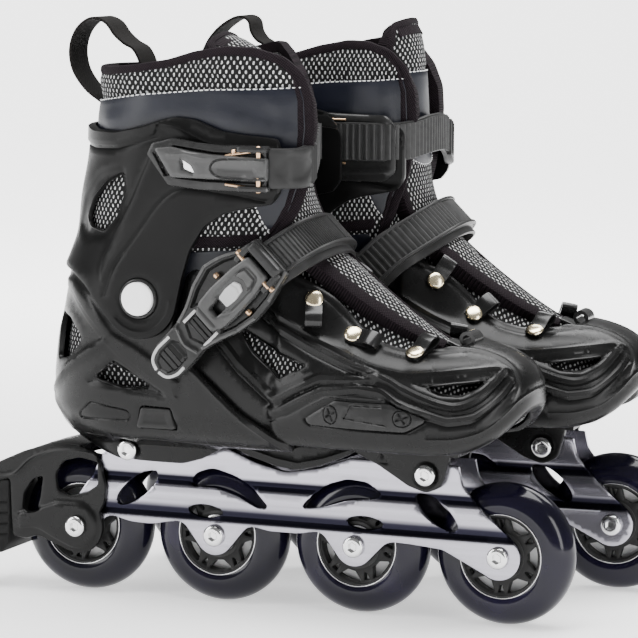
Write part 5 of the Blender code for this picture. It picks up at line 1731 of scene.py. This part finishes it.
def cuff_strap_cover(route):
    """The broad smooth end of the strap beside the lever, with an oval dent and three ribs."""
    outline = rounded([(15.5, -10.4, 1.5), (15.5, 10.4, 1.5), (44, 10.2, 3), (44, -10.2, 3)], 2.0)
    dent = [(27.0 + 9.5 * math.cos(a), 7.0 * math.sin(a)) for a in np.linspace(0.0, 2.0 * math.pi, 30)[:-1]]
    ribs = [Ridge([(run, -8.6), (run, 8.6)], 0.8, 0.7) for run in (37.2, 39.4, 41.6)]
    return panel(outline, route.surface(5.2), 2.8, [], [Plate(dent, 2.0, -0.5), *ribs], spacing=1.8, edge=0.9)


def cuff_buckle_base():
    """The buckle's bed on the cuff's arm, with raised side walls."""
    outline = [(58.5, 246.8, 2), (64, 239.5, 3), (71, 230.4, 3), (90, 228.6, 3), (127.5, 228.4, 1.5),
               (127.5, 231.5, 0.5), (127.5, 250, 0.5), (127.5, 252.6, 1.5), (100, 252.2, 3), (86, 253.4, 3),
               (73, 255.4, 3), (61.5, 252.6, 3)]
    bed = [(69, 247), (74.5, 234.4), (92, 233), (126, 232.8), (126, 248.6), (98, 249), (85, 250.6), (74, 252)]
    notch = [(62, 247.8), (65.2, 248.6), (72.8, 236), (69.4, 235)]
    base = panel(rounded(outline, 2.0), side_plane(CUFF_BED_Y), 5.4, [],
                 [Plate(rounded(bed, 2.0), 1.2, -2.2), Plate(rounded(notch, 0.6), 0.6, -1.6)], spacing=1.7,
                 edge=1.3)
    tabs = [panel(rounded([(112, low, 0.6), (128.5, low, 0.6), (128.5, low + 2.8, 0.6),
                           (112, low + 2.8, 0.6)], 0.6), side_plane(CUFF_TAB_Y), 4.6, spacing=1.4, edge=0.5)
            for low in (229, 249.4)]
    return joined(base, *tabs)


def cuff_lever():
    """The lever: broad at its free end with an eye in it, with a thumb channel towards the hinge."""
    outline = [(64.5, 250.2, 1.2), (73, 251.2, 6), (85, 248.9, 10), (97, 247.6, 10), (128.6, 246.6, 1),
               (128.6, 234.6, 1), (98, 234.9, 10), (74.5, 235, 1.4)]
    eye = [(79, 245.4, 0.8), (80.4, 239.4, 1.2), (88.2, 236.8, 0.8), (85.6, 241.6, 1.2)]
    channel = [(130, 245.4), (104, 245.5), (99.3, 244.2), (97, 240.9), (99.3, 237.4), (104, 236.1),
               (130, 236.2)]
    rise = [(124, 245), (104, 245), (99.4, 243.6), (97.5, 240.9), (99.4, 238), (104, 236.6), (124, 236.6)]
    features = [Ridge(smooth_line(channel, 1.0), 0.8, -1.1), Plate(rounded(rise, 2.0), 3.5, -0.5),
                Ridge(rounded([(73, 247), (82, 247.8), (93, 245.6)], 3.0, closed=False), 1.6, 0.5)]
    return panel(rounded(outline, 1.5), side_plane(CUFF_LEVER_Y), 3.6, [rounded(eye, 0.8)], features,
                 spacing=1.5, edge=1.0)


def cuff_pins():
    """The hinge pin, the two spring arms beside the lever and a stop."""
    return joined(rod((123.5, CUFF_PIN_Y, 228.4), (123.5, CUFF_PIN_Y, 252.8), 1.25),
                  rod((104.5, -55.0, 247.2), (119.0, -55.0, 249.6), 0.8),
                  rod((104.5, -55.0, 232.4), (119.0, -55.0, 230.9), 0.8),
                  rod((109.0, -54.2, 247.0), (109.0, -54.2, 250.6), 1.3))


def eye_plate():
    """The bright steel plate seen through the lever's eye."""
    return panel(rounded([(78, 246.2), (79.6, 237.4), (89.5, 235.8), (87, 244)], 0.6),
                 side_plane(EYE_PLATE_Y), 0.8, spacing=1.6, edge=0.2)


def inner_clasp(face):
    """The moulded end on the inner side that takes the ratchet strap, with its clamp."""
    pad_line = [(84, 226, 3), (121, 226.6, 5), (127, 232, 4), (127, 257, 4), (122, 263, 5), (84, 264, 3)]
    clamp_line = [(83, 236, 1.5), (92, 236, 1.5), (92, 261, 1.5), (83, 261, 1.5)]
    edges = ([(92, 230.4), (108, 230.8), (122, 231.6)], [(92, 261), (108, 260.4), (122, 259.4)])
    edge_ribs = [Ridge(line, 2.6, 0.9, crown=0.3) for line in edges]
    grip = [Ridge([(84.6, z), (90.4, z)], 0.55, -0.5) for z in np.arange(238.0, 260.0, 1.9)]
    pad = panel(rounded(pad_line, 3.0), side_plane(INNER_PAD_Y), 1.8, [], edge_ribs, spacing=2.0, edge=0.9)
    clamp = panel(rounded(clamp_line, 1.5), side_plane(-face), 4.6, [], grip, spacing=1.2, edge=0.8)
    return joined(pad, clamp).mirrored()


def inner_pins():
    """The inner clasp's pin and the two wires beside the strap."""
    wires = [rod((91.5, 51.3, z), (99.0, 50.7, z), 0.7) for z in (236.6, 260.4)]
    return joined(rod((87.5, INNER_PIN_Y, 235.0), (87.5, INNER_PIN_Y, 262.0), 1.0), *wires)


def instep_strap():
    """The instep's two straps: the toothed one on top and the plain one beneath."""
    total, top = INSTEP_LENGTH, 0.5 * INSTEP_LENGTH
    fine_from, fine_to = 76.0, top + 6.0
    return joined(INSTEP_ROUTE.strip(60.0, total - 2.0, 9.8, 0.4, 2.8),
                  INSTEP_ROUTE.strip(70.0, total - 8.0, 12.4, -1.6, 0.3, 0.5, middle=1.4),
                  INSTEP_ROUTE.teeth(fine_from, fine_to, 7.9, 2.6, 3.5, 2.1),
                  INSTEP_ROUTE.teeth(fine_to, total - 54.0, 8.2, 2.6, 4.3, 3.3),
                  INSTEP_ROUTE.strip(fine_from, total - 50.0, 0.95, 2.6, 4.5, 0.6, middle=-9.0),
                  INSTEP_ROUTE.strip(fine_from, total - 50.0, 0.95, 2.6, 4.5, 0.6, middle=9.0))


def instep_keeper():
    """The clamp at the strap's inner end and the anchor below it."""
    total = INSTEP_LENGTH
    return joined(INSTEP_ROUTE.strip(total - 58.0, total - 48.0, 11.6, 0.2, 6.0, 1.2),
                  INSTEP_ROUTE.strip(total - 49.0, total - 4.0, 10.6, 0.2, 3.4, 1.0),
                  INSTEP_ROUTE.strip(total - 49.0, total - 47.0, 9.6, 3.2, 6.2, 0.4))


WING_LEFT = [(-11, 8), (-11.6, 18), (-14.2, 27), (-19.4, 38), (-22.6, 50), (-20, 60), (-14.8, 70), (-12, 82)]
WING_RIGHT = [(10.4, 8), (9.6, 18), (12.6, 29), (16.6, 40), (18.6, 52), (17.6, 64), (15, 74), (13, 82)]


def instep_base():
    """The buckle's bed: a round tail, a ribbed neck and two wings beside the lever."""
    tail = [(10.8 * math.cos(a), 1.0 + 11.6 * math.sin(a)) for a in np.radians(np.linspace(-8.0, -172.0, 18))]
    outline = [*WING_RIGHT[::-1], *tail, *WING_LEFT]
    neck = [(-7.6, 20), (-7.6, 31), (7.6, 31), (7.6, 20), (0, 16.6)]
    dish = [(-6.8, -1), (-6.8, 8.6), (-3, 11), (3, 11), (6.8, 8.6), (6.8, -1), (4.6, -6.2), (0, -7.8),
            (-4.6, -6.2)]
    trough = [*[(a + 3.2, u) for a, u in WING_LEFT[2:]], *[(a - 3.2, u) for a, u in WING_RIGHT[:1:-1]],
              (9.4, 33), (-9.4, 33)]
    features = [Plate(rounded(neck, 1.0), 1.0, -1.5), Plate(rounded(dish, 1.2), 1.0, -1.3),
                Plate(rounded(trough, 1.5), 1.4, -2.2)]
    features += [Ridge([(-6.4, u), (6.4, u)], 0.5, 0.9) for u in (22, 24.8, 27.6)]
    features += [Ridge([(-5.4, u), (5.4, u)], 0.5, 0.9) for u in (-2.6, 0.6, 3.8, 7)]
    features.append(Ridge([(-9.4, 15.2), (0, 12.6), (9.4, 15.2)], 1.4, 0.8))
    base = panel(rounded([(a, u, 3) for a, u in outline], 3.0), instep_plane(INSTEP_BED_Y), 5.0, [],
                 features, spacing=1.5, edge=1.2)
    bar = panel(rounded([(-10.6, 76), (10.6, 76), (10.6, 81.4), (-10.6, 81.4)], 0.8),
                instep_plane(INSTEP_BAR_Y), 8.0, spacing=1.4, edge=0.8)
    arms = [panel(rounded([(a - 1.6, 66), (a + 1.6, 66), (a + 1.6, 79), (a - 1.6, 79)], 0.6),
                  instep_plane(INSTEP_ARM_Y), 6.2, spacing=1.4, edge=0.6) for a in (-10.8, 10.8)]
    return joined(base, bar, *arms)


def plane_lines(lines, half):
    """Thin raised lines in the buckle's plane."""
    return joined(*[panel(strip_loop(smooth_line(line, 1.0), half), instep_plane(INSTEP_LINE_Y), 1.5,
                          spacing=1.1, edge=0.35) for line in lines])


def instep_silver():
    """The silver lines beside the neck and round the tail."""
    return plane_lines([[(-8.4, 20.4), (-8.4, 30)], [(8.4, 20.4), (8.4, 31)],
                        [(-8.6, 8.6), (-8.6, -2), (-6, -7.4), (-1, -9.3)],
                        [(0.6, -9.2), (5.6, -7.6), (8.6, -2), (8.6, 3.6)]], 0.8)


def instep_wing_lines():
    """The satin edges along both wings, broken where their parts meet."""
    left, right = [(a + 1.2, u) for a, u in WING_LEFT], [(a - 1.2, u) for a, u in WING_RIGHT]
    return plane_lines([left[1:4], left[3:5], left[4:7], right[1:4], right[3:5], right[5:8],
                        [(-8.4, 14.8), (0, 12.2), (8.4, 14.8)]], 0.85)


def instep_lever():
    """The long lever with its track-shaped ring and the slot below it."""
    outline = [(-6.4, 30, 1.5), (6.4, 30, 1.5), (9.6, 36, 4), (10.4, 46, 8), (9.6, 62, 8), (7.6, 73.5, 2),
               (-7.6, 73.5, 2), (-9.6, 62, 8), (-10.4, 46, 8), (-9.6, 36, 4)]
    ring_line = rounded([(-3.6, 40), (3.6, 40), (6.6, 46), (6.8, 62), (4.6, 69.6), (-4.6, 69.6), (-6.8, 62),
                         (-6.6, 46)], 3.0)
    slot = rounded([(-2.9, 37.6), (2.9, 37.6), (3.4, 45), (-3.4, 45)], 0.6)
    crest = rounded([(-5, 57.5), (-4.6, 61), (0, 62.6), (4.6, 61), (5, 57.5), (5.4, 64), (3.8, 67.8),
                     (-3.8, 67.8), (-5.4, 64)], 1.0)
    features = [Plate(ring_line, 0.9, -1.1), Ridge(ring_line, 0.7, -0.5, closed=True),
                Plate(crest, 0.8, 1.5), Ridge([(-8.4, 34), (8.4, 34)], 1.2, -0.5)]
    return panel(rounded(outline, 2.0), instep_plane(INSTEP_LEVER_Y), 5.0, [slot], features, spacing=1.4,
                 edge=1.3)


KEY_START, KEY_SLOPE = 45.6, 0.09


def instep_key():
    """The silver release key, tilted up towards the hinge."""
    outline = rounded([(-3.4, 45.6), (3.4, 45.6), (4.2, 52), (3.4, 58.4), (0, 60), (-3.4, 58.4),
                       (-4.2, 52)], 1.2)

    def tilted(flat):
        y = INSTEP_KEY_Y - KEY_SLOPE * (flat[:, 1] - KEY_START)
        return instep_plane(0.0)(flat) + np.outer(y, [0.0, 1.0, 0.0])

    return panel(outline, tilted, 2.4, [], [Ridge([(-3, 56.4), (0, 57.6), (3, 56.4)], 0.7, -0.5)],
                 spacing=1.1, edge=0.6)


def instep_pins():
    """Two copper rivets between lever and wing, and the hinge pin."""
    parts = [rod(instep_point(-12.2, 70.0, -56.0), instep_point(12.2, 70.0, -56.0), 1.4)]
    for u in (52.0, 70.0):
        parts.append(rod(instep_point(11.6, u, -54.0), instep_point(14.4, u, -54.0), 1.7))
        parts.append(rod(instep_point(-14.4, u, -54.0), instep_point(-11.6, u, -54.0), 1.7))
    return joined(*parts)


# --------------------------------------------------------------------- lace loops, rivets and plates
def frame_at(surface, flat, way):
    """A point on a surface with the direction of way, the one across it and the normal."""
    flat, way = np.array([flat], float), np.array(way, float) / np.linalg.norm(way)
    point = surface(flat)[0]
    side_way = np.array([-way[1], way[0]])
    ahead, aside = [surface(flat + 0.5 * w)[0] - surface(flat - 0.5 * w)[0] for w in (way, side_way)]
    normal = np.cross(ahead, aside)
    ahead, normal = ahead / np.linalg.norm(ahead), normal / np.linalg.norm(normal)
    return point, ahead, np.cross(normal, ahead), normal


def lace_loop(flat, way):
    """A folded glossy loop, held by a rivet at its foot."""
    length = 14.0
    point, ahead, aside, normal = frame_at(toe_surface, flat, way)
    line = smooth_line([(-3.2, 0.3), (2, 0.5), (0.62 * length, 0.4), (length - 0.6, 1.1), (length + 0.9, 3),
                        (length - 0.9, 5), (length - 4.6, 5.1), (3.6, 2.6), (0, 1.8), (-3.2, 1.6)], 0.8)
    path = point + np.outer(line[:, 0], ahead) + np.outer(line[:, 1], normal)
    along = unit(np.gradient(line, axis=0))
    out = np.outer(-along[:, 1], ahead) + np.outer(along[:, 0], normal)
    profile = [(-4.4, -0.4), (-4.4, 0.4), (-3, 0.6), (3, 0.6), (4.4, 0.4), (4.4, -0.4), (3, -0.6), (-3, -0.6)]
    return band(path, lambda i: (aside, out[i]), profile)


def rivet(flat, way):
    """A domed brass rivet."""
    radius, base, count = 4.9, 1.9, 32
    point, ahead, aside, normal = frame_at(toe_surface, flat, way)
    rows = [(0, radius), (0.7, radius), (1.2, radius * 0.93), (1.7, radius * 0.72), (2, radius * 0.4),
            (2.1, 0)]
    turn = circle_turns(count)
    circle = np.outer(np.cos(turn), ahead) + np.outer(np.sin(turn), aside)
    points = [point + normal * (base + h) + r * circle for h, r in rows[:-1]]
    points.append((point + normal * (base + rows[-1][0]))[None])
    top, last = (len(rows) - 2) * count, (len(rows) - 1) * count
    faces = tube_faces(len(rows) - 1, count, capped=False)
    faces += [(top + k, top + (k + 1) % count, last) for k in range(count)] + [tuple(range(count))[::-1]]
    return Shape(np.vstack(points), faces)


LOOPS = [((-143.0, 68.0), (0.10, -1.0)), ((-120.5, 58.5), (0.95, 0.05)), ((-85.0, 57.0), (0.55, 0.8))]


def lace_loops():
    parts = [lace_loop(flat, way) for flat, way in LOOPS]
    inner = [lace_loop((-flat[0], flat[1]), (-abs(way[0]) * 0.4 - 0.35, 1.0)) for flat, way in LOOPS]
    return joined(*parts, *inner)


def rivets():
    return joined(*[rivet(flat, way) for flat, way in LOOPS],
                  *[rivet((-flat[0], flat[1]), (1.0, 0.0)) for flat, _ in LOOPS])


def toe_eyelet():
    """The open tube at the tongue's foot."""
    line = [(math.cos(a) * 4.6, math.sin(a) * 3.4) for a in np.linspace(0.0, 2.0 * math.pi, 25)[:-1]]
    path = np.array([(222.0 + 0.75 * x, 0, 151.0 + z - 0.1 * x) for x, z in line])
    centre = path.mean(axis=0)
    profile = [(-7, -0.9), (-7, 0.9), (7, 0.9), (7, -0.9)]
    out = unit(path - centre)
    tube = band(path, lambda i: ((0.0, 1.0, 0.0), out[i]), profile, closed=True)
    foot = panel(rounded([(210, -6.5), (226, -6.5), (226, 6.5), (210, 6.5)], 2.0),
                 lambda flat: np.column_stack([flat, 149.0 - 0.42 * (flat[:, 0] - 214.0)]), 1.6,
                 spacing=2.0, edge=0.5)
    return joined(tube, foot)


def wear_plates():
    """The replaceable side plates with a fine groove and two stamped lines."""
    outline = rounded([(-141.5, 14.2, 2), (-124, 24.6, 4), (-92.5, 27.4, 4), (-74.6, 20.4, 2),
                       (-85, 13.8, 4), (-138.5, 11.8, 3)], 3.0)
    lines = [Ridge([(-118, 17.4), (-114.5, 23.6), (-98, 25)], 0.55, -0.5),
             Ridge([(-118, 17.4), (-95, 16.2)], 0.55, -0.5)]
    seats = [Plate(ring(*at, 4.5, 28), 0.6, -0.7) for at in SCREWS]
    plate = panel(outline, raised(toe_surface, 0.5), 1.2, [], [*lines, *seats], spacing=1.7, edge=0.8)
    return joined(plate, plate.mirrored())


def plate_screws():
    """Dark cross-head screws."""
    parts = []
    for u, v in SCREWS:
        cross = [Ridge([(u - 2.2, v - 1.2), (u + 2.2, v + 1.2)], 0.6, -0.9),
                 Ridge([(u - 1.2, v + 2.2), (u + 1.2, v - 2.2)], 0.6, -0.9)]
        parts.append(panel(ring(u, v, 3.8, 28), raised(toe_surface, 0.7), 1.2, [], cross, spacing=0.9,
                           edge=0.6))
    screws = joined(*parts)
    return joined(screws, screws.mirrored())


SCREWS = [(-126, 18), (-86.5, 20.6)]
for side in SIDES:
    route = cuff_route(side)
    build("cuff_ratchet_strap", cuff_strap(route, BARE_END[side]), STRAP, "ankle", "strap_plastic",
          ["cuff_strap"], (side,))
    build("cuff_strap_end", cuff_strap_cover(route), STRAP, "ankle", "strap_plastic", sides=(side,))
build("cuff_buckle_bed", cuff_buckle_base(), TRIM, "ankle", "trim_plastic")
build("cuff_lever", cuff_lever(), SATIN, "cuff_lever", "trim_plastic", ["cuff_buckle_lever"])
build("cuff_buckle_pins", cuff_pins(), COPPER, "ankle", "bolt_steel")
build("cuff_eye_plate", eye_plate(), STEEL, "ankle", "bolt_steel")
for side in SIDES:
    build("cuff_inner_clasp", inner_clasp(INNER_CLAMP[side]), TRIM, "ankle", "trim_plastic", sides=(side,))
build("cuff_inner_pins", inner_pins(), COPPER, "ankle", "bolt_steel")
build("instep_ratchet_strap", instep_strap(), STRAP, "boot", "strap_plastic", ["instep_strap"])
build("instep_strap_keeper", instep_keeper(), TRIM, "boot", "trim_plastic")
build("instep_buckle_bed", instep_base(), TRIM, "boot", "trim_plastic", ["instep_buckle_base"])
build("instep_silver_lines", instep_silver(), SILVER, "boot", "trim_plastic")
build("instep_wing_lines", instep_wing_lines(), SATIN, "boot", "trim_plastic")
build("instep_lever", instep_lever(), SATIN, "instep_lever", "trim_plastic", ["instep_buckle_lever"])
build("instep_key", instep_key(), SILVER, "instep_lever", "trim_plastic")
build("instep_pins", instep_pins(), COPPER, "boot", "bolt_steel")
build("lace_loops", lace_loops(), VINYL, "toe", "trim_plastic")
build("lace_rivets", rivets(), RIVET, "toe", "bolt_steel")
build("toe_eyelet", toe_eyelet(), VINYL, "toe", "trim_plastic")
build("wear_plates", wear_plates(), TRIM, "toe", "trim_plastic")
build("wear_plate_screws", plate_screws(), HUB, "toe", "bolt_steel")


# -------------------------------------------------------------------------- camera, light and floor
CAMERA_AT, CAMERA_LENS, SENSOR = (795.9, -1651.1, 375.4), 188.9, 36.0
CAMERA_YAW, CAMERA_PITCH, CAMERA_ROLL = -21.8, 7.0, 0.27
FLOOR_REACH, FLOOR_CELLS, FLOOR_DROP = 16.0, 8, -0.0006
# The floor's glow near the skates and far from them, and the distances where it starts and stops growing.
FLOOR_GLOW, GLOW_FROM, GLOW_TO, WORLD_STRENGTH = (0.8, 3.4), 0.25, 1.5, 0.3
# Each soft box: its place, its width and height, its power and where it is aimed at.
LIGHTS = {
    "top": ((0.1, -0.1, 1.5), (1.3, 0.9), 44.0, (0.0, 0.0, 0.15)),
    "left_box": ((-1.3, -1.2, 0.8), (0.5, 1.3), 20.0, (0.0, 0.0, 0.15)),
    "right_box": ((1.6, -0.9, 0.7), (0.4, 1.3), 16.0, (0.0, 0.0, 0.15)),
    "rear_box": ((0.2, 1.2, 1.5), (1.6, 0.6), 24.0, (0.0, 0.0, 0.1)),
}


def camera():
    """A long lens from the front of the outer side, a little above."""
    yaw, pitch, roll = (math.radians(angle) for angle in (CAMERA_YAW, CAMERA_PITCH, CAMERA_ROLL))
    forward = Vector((math.sin(yaw) * math.cos(pitch), math.cos(yaw) * math.cos(pitch), -math.sin(pitch)))
    right = Vector((math.cos(yaw), -math.sin(yaw), 0.0))
    up = right.cross(forward)
    right, up = right * math.cos(roll) + up * math.sin(roll), up * math.cos(roll) - right * math.sin(roll)
    data = bpy.data.cameras.new("camera")
    data.sensor_width = SENSOR
    data.lens = CAMERA_LENS
    item = bpy.data.objects.new("camera", data)
    item.matrix_world = Matrix((right, up, -forward)).transposed().to_4x4()
    item.matrix_world.translation = place([CAMERA_AT], "right")[0]
    bpy.context.scene.collection.objects.link(item)
    bpy.context.scene.camera = item


def floor():
    """A broad pale floor, faintly lit from within like a light table."""
    steps = np.linspace(-FLOOR_REACH, FLOOR_REACH, FLOOR_CELLS + 1)
    points = [(x, y, FLOOR_DROP) for y in steps for x in steps]
    row, corners = FLOOR_CELLS + 1, (0, 1, FLOOR_CELLS + 2, FLOOR_CELLS + 1)
    faces = [tuple(j * row + i + k for k in corners) for j in range(FLOOR_CELLS) for i in range(FLOOR_CELLS)]
    mesh = bpy.data.meshes.new("floor")
    mesh.from_pydata(points, [], faces)
    paint = Paint("floor_paper", 0.85, specular=0.2)
    paint.colour(paint.ramp(paint.noise(3.0), (0.2, 0.90), (0.8, 0.93)))
    paint.shader.inputs["Emission Color"].default_value = (1.0, 1.0, 1.0, 1.0)
    away = paint.node("ShaderNodeVectorMath", {0: paint.place()}, operation="LENGTH").outputs["Value"]
    glow = paint.node("ShaderNodeMapRange", {"Value": away}, interpolation_type="SMOOTHSTEP",
                      From_Min=GLOW_FROM, From_Max=GLOW_TO, To_Min=FLOOR_GLOW[0], To_Max=FLOOR_GLOW[1])
    paint.set("Emission Strength", glow.outputs["Result"])
    mesh.materials.append(paint.material)
    item = bpy.data.objects.new("floor", mesh)
    bpy.context.scene.collection.objects.link(item)


def light(name, at, size, power, aim):
    """A square soft box that faces the skates."""
    data = bpy.data.lights.new(name, "AREA")
    data.shape = "RECTANGLE"
    data.size, data.size_y = size
    data.energy = power
    item = bpy.data.objects.new(name, data)
    item.location = at
    item.rotation_euler = (Vector(aim) - Vector(at)).to_track_quat("-Z", "Y").to_euler()
    bpy.context.scene.collection.objects.link(item)


def studio():
    """Soft boxes over and beside the skates, and a pale surround."""
    for name, values in LIGHTS.items():
        light(name, *values)
    world = bpy.data.worlds.new("surround")
    world.use_nodes = True
    world.node_tree.nodes["Background"].inputs["Color"].default_value = (1.0, 1.0, 1.0, 1.0)
    world.node_tree.nodes["Background"].inputs["Strength"].default_value = WORLD_STRENGTH
    bpy.context.scene.world = world


camera()
floor()
studio()
